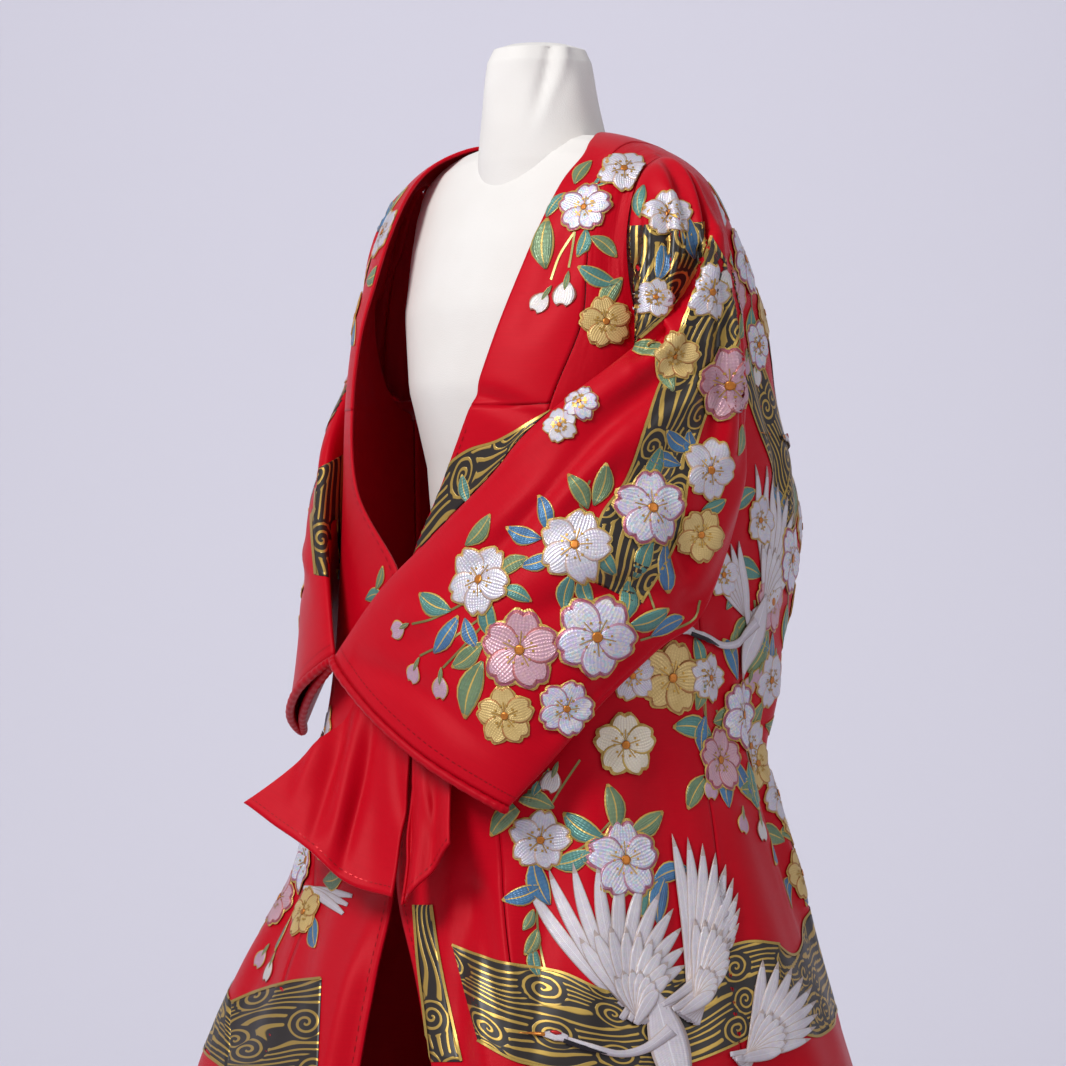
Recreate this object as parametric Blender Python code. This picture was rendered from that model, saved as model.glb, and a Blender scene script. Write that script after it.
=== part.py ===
# Uchikake wedding kimono on a limbless dress form, Blender 4.5, metres, +Z up.
# The form faces -Y and its left side is +X. The floor is z = 0.
# Each cloth piece is a wall round one shell of sections, folded as the garment hangs.

import math

import bmesh
import bpy
from mathutils import Vector

for old in list(bpy.data.objects):
    bpy.data.objects.remove(old, do_unlink=True)

# Driving sizes
WALL = 0.003            # silk, lining and thin wadding together
SEAM = 0.0003           # gap between two sewn pieces
SEAM_ANGLE = 0.0028     # the same gap and its facets, as a plan angle
ROUND = 2.5             # exponent of the plan outline, 2 is an ellipse
SHOULDER_SAG = 0.048    # fall of the shoulder line from the neck to the arm
ARMHOLE_FRONT_DEG = 30.0  # plan angle of the armhole's front edge from the side
ARMHOLE_BACK_DEG = 17.0   # the same for its back edge
ARMHOLE_ROW = 7.0       # section where the armhole closes and the side seam begins
COLLAR_ROW = 7.0        # section where the collar strip ends on the overlap panel
BACK_COLLAR_EDGE = 2.0  # section of the collar's free edge at the centre back
BACK_COLLAR_SEAM = 4.0  # section of the collar's seam at the centre back
FLOOR_ROW = 22.0        # section of the hem
CUFF_ROLL = 0.0045      # radius of the padded roll on the sleeve opening
TUCK_ANGLE = 0.46       # plan angle of the upright fold beside the left front edge, at its top
TUCK_SLANT = 0.95       # its turn to the side for each metre down

# One row for each section of the body shell, from the shoulder line down to the hem.
# z is its height, then the half widths, then the x of each front edge and collar or overlap seam.
COLUMNS = ("z", "left", "right", "front", "back", "left_edge", "left_seam", "right_edge", "right_seam")
SECTIONS = (
    (1.405, 0.200, 0.200, 0.000, 0.000, 0.095, 0.145, -0.095, -0.145),
    (1.397, 0.204, 0.204, 0.035, 0.045, 0.112, 0.150, -0.112, -0.150),
    (1.380, 0.207, 0.207, 0.062, 0.082, 0.125, 0.156, -0.125, -0.156),
    (1.350, 0.210, 0.209, 0.090, 0.118, 0.124, 0.163, -0.124, -0.163),
    (1.305, 0.213, 0.210, 0.117, 0.150, 0.121, 0.170, -0.121, -0.168),
    (1.258, 0.215, 0.211, 0.137, 0.180, 0.115, 0.177, -0.120, -0.173),
    (1.200, 0.218, 0.212, 0.158, 0.208, 0.106, 0.182, -0.121, -0.178),
    (1.125, 0.222, 0.212, 0.170, 0.228, 0.085, 0.166, -0.120, -0.176),
    (1.045, 0.226, 0.211, 0.174, 0.250, 0.050, 0.150, -0.102, -0.166),
    (0.960, 0.230, 0.210, 0.181, 0.243, 0.010, 0.140, -0.006, -0.145),
    (0.865, 0.235, 0.212, 0.191, 0.203, 0.012, 0.140, 0.004, -0.140),
    (0.790, 0.240, 0.222, 0.202, 0.168, 0.018, 0.143, 0.012, -0.135),
    (0.728, 0.249, 0.238, 0.208, 0.184, 0.026, 0.150, 0.020, -0.128),
    (0.646, 0.265, 0.266, 0.215, 0.214, 0.036, 0.165, 0.029, -0.120),
    (0.560, 0.283, 0.318, 0.252, 0.247, 0.090, 0.200, 0.032, -0.118),
    (0.456, 0.306, 0.378, 0.280, 0.288, 0.147, 0.235, 0.035, -0.115),
    (0.330, 0.328, 0.415, 0.312, 0.328, 0.190, 0.262, 0.036, -0.114),
    (0.200, 0.360, 0.455, 0.342, 0.385, 0.228, 0.290, 0.036, -0.114),
    (0.090, 0.390, 0.485, 0.366, 0.450, 0.258, 0.315, 0.036, -0.114),
    (0.022, 0.412, 0.508, 0.385, 0.525, 0.280, 0.335, 0.036, -0.114),
    (0.0045, 0.432, 0.526, 0.400, 0.620, 0.290, 0.345, 0.036, -0.114),
    (0.0035, 0.450, 0.545, 0.415, 0.730, 0.296, 0.350, 0.036, -0.114),
    (0.0035, 0.462, 0.560, 0.425, 0.840, 0.300, 0.355, 0.036, -0.114),
)
ODD_COLUMNS = ("front", "back")

# The left sleeve is a flattened tube. A row for each station, from below the armhole to the cuff:
# the front and back folds as plan angle and height, the lift off the body and the half depth.
SLEEVE_COLUMNS = ("front_deg", "front_z", "back_deg", "back_z", "lift", "puff")
LEFT_SLEEVE = (
    (71.0, 1.180, 97.0, 1.100, 0.0045, 0.027),
    (65.0, 1.160, 97.0, 1.052, 0.0045, 0.029),
    (54.0, 1.124, 94.0, 1.005, 0.0045, 0.029),
    (45.0, 1.090, 84.5, 0.922, 0.005, 0.029),
    (37.0, 1.052, 74.0, 0.890, 0.006, 0.028),
    (21.0, 0.996, 62.0, 0.840, 0.010, 0.024),
    (3.0, 0.942, 52.0, 0.787, 0.016, 0.019),
    (-12.6, 0.878, 43.0, 0.741, 0.024, 0.013),
)
RIGHT_SLEEVE_TURN = 0.72   # the right sleeve is drawn across the front by this share of the left one
RIGHT_SLEEVE_PUFF = 0.62   # and is flatter
RIGHT_CUFF_NARROW = 0.42   # and its cuff is folded shorter by this share

# The turned out lower ends of the collar. A row for each upright fold line, from right to left:
# plan angle at the top and bottom, height at the bottom, and how far the bottom stands off the skirt.
END_COLUMNS = ("top_deg", "low_deg", "low_z", "low_off")
RIGHT_END = (
    (-17.5, -20.5, 0.732, 0.094),
    (-10.0, -14.0, 0.713, 0.090),
    (-3.0, -5.0, 0.690, 0.066),
    (4.0, 4.0, 0.658, 0.052),
    (11.0, 15.0, 0.648, 0.034),
)
LEFT_END = (
    (12.5, 19.0, 0.642, 0.046),
    (18.5, 24.0, 0.664, 0.044),
    (25.5, 31.0, 0.704, 0.040),
)
END_TOP_Z = 0.838
END_TOP_OFF = WALL + SEAM

# The dress form. A row for each section: height, half width, half depth, centre in y.
FORM_SECTIONS = (
    (1.4050, 0.186, 0.0050, 0.000),
    (1.4000, 0.190, 0.0200, 0.000),
    (1.3850, 0.193, 0.0420, 0.002),
    (1.3520, 0.192, 0.0660, 0.004),
    (1.3000, 0.184, 0.0900, 0.004),
    (1.2300, 0.172, 0.1050, -0.002),
    (1.1500, 0.156, 0.1080, -0.006),
    (1.0700, 0.136, 0.0980, 0.000),
    (1.0000, 0.132, 0.0960, 0.004),
    (0.9300, 0.150, 0.1080, 0.008),
    (0.8600, 0.166, 0.1200, 0.010),
    (0.8000, 0.168, 0.1220, 0.010),
)
NECK_SECTIONS = (
    (1.300, 0.066, 0.062, 0.004),
    (1.380, 0.074, 0.064, 0.002),
    (1.415, 0.065, 0.060, -0.001),
    (1.450, 0.058, 0.055, -0.004),
    (1.485, 0.051, 0.050, -0.006),
    (1.497, 0.044, 0.043, -0.006),
)
FORM_SEAT = 0.0006      # clearance between the form's shoulder and the cloth that rests on it
POLE_RADIUS = 0.016
BASE_RADIUS = 0.190
BASE_THICK = 0.020

FRONT = 0.0
SIDE = math.pi / 2
BACK = math.pi


# Interpolation of the section table
def spline(a, b, c, d, t):
    return b + 0.5 * t * (c - a + t * (2 * a - 5 * b + 4 * c - d + t * (3 * (b - c) + d - a)))


def table_value(rows, index, place, odd=False):
    last = len(rows) - 1
    place = min(max(place, 0.0), last)
    low = min(int(place), last - 1)

    def cell(i):
        if i < 0:
            return -rows[-i][index] if odd else rows[-i][index]
        if i > last:
            return 2 * rows[last][index] - rows[last - 1][index]
        return rows[i][index]

    return spline(cell(low - 1), cell(low), cell(low + 1), cell(low + 2), place - low)


def section(row):
    return {
        name: table_value(SECTIONS, index, row, name in ODD_COLUMNS)
        for index, name in enumerate(COLUMNS)
    }


def smooth(value, low, high):
    t = min(max((value - low) / (high - low), 0.0), 1.0)
    return t * t * (3 - 2 * t)


def row_at(z):
    low, high = 0.0, FLOOR_ROW
    for _ in range(32):
        middle = (low + high) / 2
        if table_value(SECTIONS, 0, middle) > z:
            low = middle
        else:
            high = middle
    return (low + high) / 2


# Folds of the body shell, as a distance outward at a plan angle and height
def folds(angle, z):
    skirt = smooth(z, 0.80, 0.10)
    hang = 0.010 * math.cos(9 * angle + 0.6) + 0.005 * math.cos(14 * angle - 1.1)
    train = 1.0 - 0.7 * smooth(z, 0.06, 0.01)
    depth = skirt * hang * train
    behind = smooth(abs(angle), 1.9, 2.6)
    gather = smooth(z, 0.56, 0.70) * smooth(z, 1.02, 0.86)
    depth += 0.007 * behind * gather * math.cos(16 * angle)
    blouse = smooth(z, 0.88, 1.00) * smooth(z, 1.26, 1.12)
    depth += 0.005 * behind * blouse * math.cos(24 * z + 3 * angle)
    tuck = smooth(z, 0.66, 0.54) * smooth(z, 0.0, 0.10)
    line = TUCK_ANGLE + TUCK_SLANT * (0.646 - max(z, 0.32))
    depth -= 0.016 * tuck * smooth(angle, line + 0.05, line - 0.05) * smooth(angle, 0.0, 0.10)
    return depth


def plan_point(angle, width, depth):
    s, c = math.sin(angle), math.cos(angle)
    k = (abs(s) ** ROUND + abs(c) ** ROUND) ** (-1 / ROUND)
    return width * s * k, -depth * c * k, s * k


def shell(angle, row):
    part = section(row)
    width = part["left"] if angle >= 0 else part["right"]
    depth = part["front"] if abs(angle) < SIDE else part["back"]
    x, y, across = plan_point(angle, width, depth)
    z = part["z"] - SHOULDER_SAG * abs(across) ** 3 * smooth(row, 6.0, 0.0)
    radius = max(math.hypot(x, y), 0.02)
    grow = 1 + folds(angle, z) / radius
    return Vector((x * grow, y * grow, z))


# Plan angle of a point at x on the front or the back of a section
def angle_at(x, row, behind=False):
    part = section(row)
    t = min(abs(x) / (part["left"] if x >= 0 else part["right"]), 0.999)
    angle = math.atan2(t, (1 - t ** ROUND) ** (1 / ROUND))
    angle = BACK - angle if behind else angle
    return angle if x >= 0 else -angle


# Distance of the body shell from the axis at a true bearing and height
def body_radius(bearing, z):
    part = section(row_at(z))
    width = part["left"] if bearing >= 0 else part["right"]
    depth = part["front"] if abs(bearing) < SIDE else part["back"]
    s, c = abs(math.sin(bearing)) / width, abs(math.cos(bearing)) / max(depth, 0.004)
    angle = math.atan2(s, c)
    angle = angle if abs(bearing) < SIDE else BACK - angle
    return (s ** ROUND + c ** ROUND) ** (-1 / ROUND) + folds(math.copysign(angle, bearing), z)


def round_axis(bearing, radius, z):
    return Vector((radius * math.sin(bearing), -radius * math.cos(bearing), z))


# Cloth wall round a surface function of two numbers
def wall(name, surface, across, along, colour, closed=False, thick=WALL):
    step = 1e-3

    def normal(u, v):
        du = surface(u + step, v) - surface(u - step, v)
        dv = surface(u, v + step) - surface(u, v - step)
        return du.cross(dv).normalized()

    mesh = bmesh.new()
    skins = []
    for side in (0.5, -0.5):
        skins.append([
            [mesh.verts.new(surface(u, v) + normal(u, v) * thick * side) for u in across]
            for v in along
        ])
    outer, inner = skins
    columns = len(across)
    spans = columns if closed else columns - 1
    for j in range(len(along) - 1):
        for i in range(spans):
            k = (i + 1) % columns
            mesh.faces.new((outer[j][i], outer[j][k], outer[j + 1][k], outer[j + 1][i]))
            mesh.faces.new((inner[j + 1][i], inner[j + 1][k], inner[j][k], inner[j][i]))
    for i in range(spans):
        k = (i + 1) % columns
        mesh.faces.new((outer[0][k], outer[0][i], inner[0][i], inner[0][k]))
        mesh.faces.new((outer[-1][i], outer[-1][k], inner[-1][k], inner[-1][i]))
    if not closed:
        for j in range(len(along) - 1):
            mesh.faces.new((outer[j][0], outer[j + 1][0], inner[j + 1][0], inner[j][0]))
            mesh.faces.new((outer[j + 1][-1], outer[j][-1], inner[j][-1], inner[j + 1][-1]))
    return add_object(name, mesh, colour)


def material(name, colour):
    found = bpy.data.materials.get(name)
    if found:
        return found
    made = bpy.data.materials.new(name)
    made.use_nodes = True
    shader = made.node_tree.nodes["Principled BSDF"]
    shader.inputs["Base Color"].default_value = (*colour, 1.0)
    shader.inputs["Roughness"].default_value = 0.5
    return made


def add_object(name, mesh, colour):
    bmesh.ops.recalc_face_normals(mesh, faces=mesh.faces[:])
    data = bpy.data.meshes.new(name)
    mesh.to_mesh(data)
    mesh.free()
    data.materials.append(material(name, colour))
    for face in data.polygons:
        face.use_smooth = True
    made = bpy.data.objects.new(name, data)
    bpy.context.scene.collection.objects.link(made)
    return made


def steps(low, high, count):
    return [low + (high - low) * i / count for i in range(count + 1)]


RED = (0.62, 0.01, 0.02)
DEEP_RED = (0.50, 0.01, 0.02)
CREAM = (0.80, 0.78, 0.72)
STEEL = (0.55, 0.55, 0.57)


# Body lengths, from the back hem over the shoulder to the front hem
def neck_x(row, edge, last):
    return edge * math.sqrt(max(0.0, 1 - (row / last) ** 2))


def armhole_angle(row, wide):
    open_share = max(0.0, 1 - (row / ARMHOLE_ROW) ** 4) ** 0.5
    return math.radians(wide) * open_share


def body_surface(hand):
    side = "left" if hand > 0 else "right"

    def surface(u, v):
        row = abs(v)
        gap = SEAM_ANGLE
        if v > 0:
            inner = angle_at(neck_x(row, SECTIONS[0][6], BACK_COLLAR_SEAM), row, True)
            inner = inner - gap / 2
            outer = SIDE + armhole_angle(row, ARMHOLE_BACK_DEG) + gap
        else:
            inner = hand * angle_at(section(row)[side + "_seam"], row) + gap / 2
            outer = SIDE - armhole_angle(row, ARMHOLE_FRONT_DEG) - gap
        return shell(hand * (inner + (outer - inner) * u), row)

    return surface


upper_rows = [0.0, 0.4, 0.8, 1.2, 1.7, 2.3, 3.0, 3.5, 3.85, 4.0, 4.6, 5.2, 6.0, 6.6, 7.0]
lower_rows = [7.6, 8.4, 9.2, 10.0, 10.7, 11.4, 12.2, 13.1, 14.0, 15.0, 16.0, 17.0, 18.0, 18.9, 19.5, 20.2, 22.0]
rows_down = upper_rows + lower_rows
body_length = [-row for row in reversed(rows_down[1:])] + rows_down
for hand, name in ((1, "body_left"), (-1, "body_right")):
    wall(name, body_surface(hand), steps(0, 1, 12), body_length, RED)


# Overlap panels at the front edges
def okumi_surface(hand):
    side = "left" if hand > 0 else "right"

    def surface(u, v):
        part = section(v)
        gap = SEAM_ANGLE
        edge = angle_at(part[side + "_edge"], v)
        seam = angle_at(part[side + "_seam"], v) - hand * gap / 2
        return shell(edge + (seam - edge) * u, v)

    return surface


okumi_rows = [COLLAR_ROW + 0.012] + lower_rows
for hand, name in ((1, "okumi_left"), (-1, "okumi_right")):
    wall(name, okumi_surface(hand), steps(0, 1, 5), okumi_rows, RED)


# Collar, one strip from the left front, round the back of the neck, to the right front
def collar_surface(u, v):
    hand = 1 if v < 0 else -1
    side = "left" if hand > 0 else "right"
    place = 1 - abs(v)
    inset = 0.0006
    if place <= 0.6:
        row = COLLAR_ROW * (1 - place / 0.6)
        row = max(row, 0.0)
        part = section(row)
        edge, seam = part[side + "_edge"], part[side + "_seam"] - hand * inset
        return shell(angle_at(edge + (seam - edge) * u, row), row)
    turn = (place - 0.6) / 0.4 * math.pi / 2
    edge = SECTIONS[0][5] * math.cos(turn)
    seam = (SECTIONS[0][6] - inset) * math.cos(turn)
    row_edge = BACK_COLLAR_EDGE * math.sin(turn)
    row_seam = (BACK_COLLAR_SEAM - 0.015) * math.sin(turn)
    row = row_edge + (row_seam - row_edge) * u
    x = (edge + (seam - edge) * u) * hand
    return shell(angle_at(x if x else 1e-9 * hand, row, True), row)


front_steps = [-1 + 0.6 * (1 - row / COLLAR_ROW) for row in reversed(upper_rows[1:])]
back_rows = [row for row in upper_rows if row < BACK_COLLAR_SEAM]
back_steps = [-0.4 + 0.4 * math.asin(row / BACK_COLLAR_SEAM) / SIDE for row in back_rows]
collar_places = front_steps + back_steps
collar_places = collar_places + [0.0] + [-place for place in reversed(collar_places)]
wall("collar", collar_surface, steps(0, 1, 5), collar_places, RED)


# Sleeves, each a tube from the armhole, down the side and across the front to the cuff
def sleeve_surface(hand):
    last = len(LEFT_SLEEVE) - 1
    share = 1.0 if hand > 0 else RIGHT_SLEEVE_TURN

    def station(ring, place):
        value = {
            name: table_value(LEFT_SLEEVE, index, place)
            for index, name in enumerate(SLEEVE_COLUMNS)
        }
        q = math.cos(ring)
        front = 90 + (value["front_deg"] - 90) * share
        back = 90 + (value["back_deg"] - 90) * share
        bearing = math.radians((front + back) / 2 + (front - back) / 2 * q)
        high, low = value["front_z"], value["back_z"]
        if hand < 0:
            low += (high - low) * RIGHT_CUFF_NARROW * smooth(place, 2.0, 7.0)
            value["puff"] *= RIGHT_SLEEVE_PUFF
        z = (high + low) / 2 + (high - low) / 2 * q
        outer = max(math.sin(ring), 0.0)
        crease = 0.004 * outer * math.cos(9 * ring + 1.2 * place) * smooth(place, 6.5, 3.0)
        pinch = 0.010 * outer * math.exp(-((place - 3.0) / 0.9) ** 2) * smooth(q, -0.3, -0.9)
        off = value["lift"] + value["puff"] * (1 + math.sin(ring)) + crease - pinch
        return bearing, z, off

    def armhole(ring):
        row = ARMHOLE_ROW * (1 - math.sin(ring)) / 2 * 0.97
        if math.cos(ring) > 0:
            angle = SIDE - armhole_angle(row, ARMHOLE_FRONT_DEG)
        else:
            angle = SIDE + armhole_angle(row, ARMHOLE_BACK_DEG)
        ahead = shell(hand * angle, row)
        bearing = math.atan2(ahead.x * hand, -ahead.y)
        radius = math.hypot(ahead.x, ahead.y)
        return bearing, ahead.z, radius - body_radius(hand * bearing, ahead.z) + WALL + SEAM

    def surface(u, v):
        ring = 2 * math.pi * u
        if v >= 0:
            bearing, z, off = station(ring, v)
        else:
            t = 1 + max(v, -1.0)
            start, end = armhole(ring), station(ring, 0.0)
            fall = 1 - math.cos(t * SIDE)
            swell = math.sin(t * SIDE)
            bearing = start[0] + (end[0] - start[0]) * fall
            z = start[1] + (end[1] - start[1]) * fall
            off = start[2] + (end[2] - start[2]) * swell
            ahead = max(math.sin(ring + 0.6), 0.0)
            gather = math.cos(10 * ring) * 0.006 * ahead * math.sin(t * math.pi) ** 0.7
            layer = 0.012 * smooth(math.degrees(ring), 170 * (1 - t), 200 * (1 - t) + 14)
            layer = layer * max(math.sin(ring), 0.0) * swell
            off += gather + layer * smooth(t, 1.0, 0.9)
        radius = body_radius(hand * bearing, z) + off
        return round_axis(hand * bearing, radius, z)

    return surface, last


ring_places = [i / 38 for i in range(38)]
sleeve_shapes = {}
for hand, name in ((1, "sleeve_left"), (-1, "sleeve_right")):
    surface, last = sleeve_surface(hand)
    sleeve_shapes[name] = (surface, last)
    along = [-1.0, -0.88, -0.75, -0.62, -0.48, -0.34, -0.2, -0.08] + steps(0.0, last, 11)
    wall(name, surface, ring_places, along, RED, closed=True)


# Padded roll on each sleeve opening
for name, (surface, last) in sleeve_shapes.items():
    ring_mesh = bmesh.new()
    loops = []
    centres = []
    for place in ring_places:
        edge = surface(place, last)
        before = surface(place, last - 0.05)
        centres.append((edge, (edge - before).normalized()))
    for i, (edge, ahead) in enumerate(centres):
        tangent = (centres[(i + 1) % len(centres)][0] - centres[i - 1][0]).normalized()
        ahead = (ahead - tangent * ahead.dot(tangent)).normalized()
        sideways = tangent.cross(ahead)
        centre = edge + ahead * (CUFF_ROLL + SEAM)
        loops.append([
            ring_mesh.verts.new(centre + CUFF_ROLL * (ahead * math.cos(a) + sideways * math.sin(a)))
            for a in steps(0, 2 * math.pi, 8)[:-1]
        ])
    for i in range(len(loops)):
        one, two = loops[i], loops[(i + 1) % len(loops)]
        for j in range(8):
            k = (j + 1) % 8
            ring_mesh.faces.new((one[j], one[k], two[k], two[j]))
    add_object(name.replace("sleeve", "cuff_roll"), ring_mesh, DEEP_RED)


# Turned out lower ends of the collar, hanging below the cuffs
def end_surface(rows, phase):
    def surface(u, v):
        place = u * (len(rows) - 1)
        top, low, low_z, low_off = (table_value(rows, index, place) for index in range(4))
        bearing = math.radians(top + (low - top) * v)
        z = END_TOP_Z + (low_z - END_TOP_Z) * v
        fold = 0.006 * math.sin(v * SIDE) * math.cos(u * 11 + phase)
        spread = max(v, 0.0) ** 1.7
        off = END_TOP_OFF + (low_off - END_TOP_OFF) * spread + fold * smooth(v, 0.3, 0.7)
        return round_axis(bearing, body_radius(bearing, z) + off, z)

    return surface


wall("collar_end_right", end_surface(RIGHT_END, 0.4), steps(0, 1, 12), steps(0, 1, 7), RED)
wall("collar_end_left", end_surface(LEFT_END, 2.0), steps(0, 1, 8), steps(0, 1, 7), RED)


# Dress form, lofted through its sections
def loft(name, rows, count, power, colour):
    mesh = bmesh.new()
    rings = []
    for z, width, depth, centre in rows:
        ring = []
        for i in range(count):
            a = 2 * math.pi * i / count
            s, c = math.sin(a), math.cos(a)
            k = (abs(s) ** power + abs(c) ** power) ** (-1 / power)
            fall = SHOULDER_SAG * (abs(s * k) * width / SECTIONS[0][1]) ** 3
            level = z - WALL / 2 - FORM_SEAT
            fall = fall * smooth(z, 1.20, 1.38) if name == "form_torso" else 0.0
            ring.append(mesh.verts.new((width * s * k, centre - depth * c * k, level - fall)))
        rings.append(ring)
    for one, two in zip(rings, rings[1:]):
        for i in range(count):
            k = (i + 1) % count
            mesh.faces.new((one[i], one[k], two[k], two[i]))
    mesh.faces.new(rings[0])
    mesh.faces.new(rings[-1])
    return add_object(name, mesh, colour)


def dense(rows, per_row):
    last = len(rows) - 1
    places = steps(0, last, last * per_row)
    return [tuple(table_value(rows, index, place, False) for index in range(4)) for place in places]


torso = loft("form_torso", FORM_SECTIONS, 28, 2.2, CREAM)
neck = loft("form_neck", NECK_SECTIONS, 24, 2.0, CREAM)
join = torso.modifiers.new("neck", "BOOLEAN")
join.operation = "UNION"
join.solver = "EXACT"
join.object = neck
bpy.context.view_layer.objects.active = torso
torso.select_set(True)
bpy.ops.object.modifier_apply(modifier=join.name)
bpy.data.objects.remove(neck, do_unlink=True)


def disc(name, radius, bottom, top, count, colour):
    mesh = bmesh.new()
    bmesh.ops.create_cone(
        mesh, cap_ends=True, segments=count, radius1=radius, radius2=radius, depth=top - bottom
    )
    bmesh.ops.translate(mesh, verts=mesh.verts[:], vec=(0.0, 0.0, (top + bottom) / 2))
    made = add_object(name, mesh, colour)
    for face in made.data.polygons:
        face.use_smooth = abs(face.normal.z) < 0.5
    return made


torso_bottom = FORM_SECTIONS[-1][0] - WALL / 2 - FORM_SEAT
disc("form_pole", POLE_RADIUS, BASE_THICK + SEAM, torso_bottom - SEAM, 24, STEEL)
disc("form_base", BASE_RADIUS, 0.0, BASE_THICK, 48, STEEL)
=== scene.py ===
import math

import bmesh
import bpy
import numpy as np
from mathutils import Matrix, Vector
from mathutils.bvhtree import BVHTree


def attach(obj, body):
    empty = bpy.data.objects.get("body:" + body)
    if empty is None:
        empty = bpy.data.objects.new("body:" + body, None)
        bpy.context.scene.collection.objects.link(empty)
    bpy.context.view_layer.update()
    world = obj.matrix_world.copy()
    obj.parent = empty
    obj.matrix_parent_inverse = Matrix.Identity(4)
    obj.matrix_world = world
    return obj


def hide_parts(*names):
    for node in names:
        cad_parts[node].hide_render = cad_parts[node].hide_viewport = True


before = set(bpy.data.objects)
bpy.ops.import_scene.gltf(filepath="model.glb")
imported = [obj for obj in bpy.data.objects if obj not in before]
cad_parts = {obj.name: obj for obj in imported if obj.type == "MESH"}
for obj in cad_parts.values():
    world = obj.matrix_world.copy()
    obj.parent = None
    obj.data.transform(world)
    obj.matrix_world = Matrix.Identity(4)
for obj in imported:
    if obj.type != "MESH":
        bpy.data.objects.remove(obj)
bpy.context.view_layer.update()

# Dress form: a padded torso and neck under cream stretch cloth.
# It stands on a steel tube and a round painted base, and stays as the frame has it.
CREAM = (0.72, 0.69, 0.64)
PAINT = (0.62, 0.62, 0.64)


def new_material(name, colour, roughness, metallic=0.0):
    made = bpy.data.materials.new(name)
    made.use_nodes = True
    shader = made.node_tree.nodes["Principled BSDF"]
    shader.inputs["Base Color"].default_value = (*colour, 1.0)
    shader.inputs["Roughness"].default_value = roughness
    shader.inputs["Metallic"].default_value = metallic
    return made, made.node_tree, shader


def node(tree, kind, label="", sockets=None, **values):
    """A shader node: its sockets are given as values or as the outputs that feed them."""
    made = tree.nodes.new(kind)
    made.label = label
    for key, value in values.items():
        setattr(made, key, value)
    for key, value in (sockets or {}).items():
        if isinstance(value, bpy.types.NodeSocket):
            tree.links.new(value, made.inputs[key])
        else:
            made.inputs[key].default_value = value
    return made


def link(tree, source, target):
    tree.links.new(source, target)


def math_node(tree, operation, first, second=None, clamp=False):
    made = node(tree, "ShaderNodeMath", operation=operation, use_clamp=clamp)
    for socket, value in zip(made.inputs, (first, second)):
        if value is None:
            continue
        if isinstance(value, (int, float)):
            socket.default_value = value
        else:
            link(tree, value, socket)
    return made.outputs[0]


def mix_colour(tree, factor, first, second, blend="MIX"):
    made = node(tree, "ShaderNodeMix", data_type="RGBA", blend_type=blend)
    for socket, value in zip((made.inputs[0], made.inputs[6], made.inputs[7]), (factor, first, second)):
        if isinstance(value, (int, float)):
            socket.default_value = value
        elif isinstance(value, tuple):
            socket.default_value = (*value, 1.0)
        else:
            link(tree, value, socket)
    return made.outputs[2]


form_cloth, tree, shader = new_material("form_cloth", CREAM, 0.82)
shader.inputs["Sheen Weight"].default_value = 0.25
place = node(tree, "ShaderNodeTexCoord").outputs["Object"]
knit = node(tree, "ShaderNodeTexVoronoi", "knit loops", sockets={"Scale": 900.0, "Vector": place})
soft = node(tree, "ShaderNodeTexNoise", "slack in the cover", sockets={"Scale": 14.0, "Vector": place})
bump = node(tree, "ShaderNodeBump", sockets={
    "Strength": 0.25, "Distance": 0.0006, "Height": knit.outputs["Distance"]})
cover = node(tree, "ShaderNodeBump", sockets={"Strength": 0.4, "Distance": 0.004, "Height": soft.outputs["Fac"]})
link(tree, cover.outputs["Normal"], bump.inputs["Normal"])
link(tree, bump.outputs["Normal"], shader.inputs["Normal"])
shade = mix_colour(tree, soft.outputs["Fac"], CREAM, (0.78, 0.76, 0.72))
link(tree, shade, shader.inputs["Base Color"])

form_paint, tree, shader = new_material("form_paint", PAINT, 0.4)
place = node(tree, "ShaderNodeTexCoord").outputs["Object"]
scuffs = node(tree, "ShaderNodeTexNoise", "scuffs", sockets={"Scale": 60.0, "Detail": 8.0, "Vector": place})
worn = math_node(tree, "MULTIPLY_ADD", scuffs.outputs["Fac"], 0.3)
link(tree, worn, shader.inputs["Roughness"])
shade = mix_colour(tree, scuffs.outputs["Fac"], PAINT, (0.7, 0.7, 0.71))
link(tree, shade, shader.inputs["Base Color"])

for name in ("form_pole", "form_base"):
    for slot_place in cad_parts[name].material_slots:
        slot_place.material = form_paint

FORM_ROWS = (
    (1.4050, 0.186, 0.0050, 0.000), (1.4000, 0.190, 0.0200, 0.000), (1.3850, 0.193, 0.0420, 0.002),
    (1.3520, 0.192, 0.0660, 0.004), (1.3000, 0.184, 0.0900, 0.004), (1.2300, 0.172, 0.1050, -0.002),
    (1.1500, 0.156, 0.1080, -0.006), (1.0700, 0.136, 0.0980, 0.000), (1.0000, 0.132, 0.0960, 0.004),
    (0.9300, 0.150, 0.1080, 0.008), (0.8600, 0.166, 0.1200, 0.010), (0.8000, 0.168, 0.1220, 0.010),
)
NECK_ROWS = (
    (1.300, 0.066, 0.062, 0.004), (1.380, 0.074, 0.064, 0.002), (1.415, 0.066, 0.061, -0.001),
    (1.450, 0.059, 0.056, -0.004), (1.480, 0.053, 0.052, -0.006), (1.494, 0.046, 0.046, -0.006),
    (1.499, 0.030, 0.030, -0.006), (1.500, 0.006, 0.006, -0.006),
)
FORM_SINK = 0.0026      # the cover lies this far under the cloth that rests on it
FORM_SAG = 0.048
FORM_SAG_WIDTH = 0.200


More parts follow.
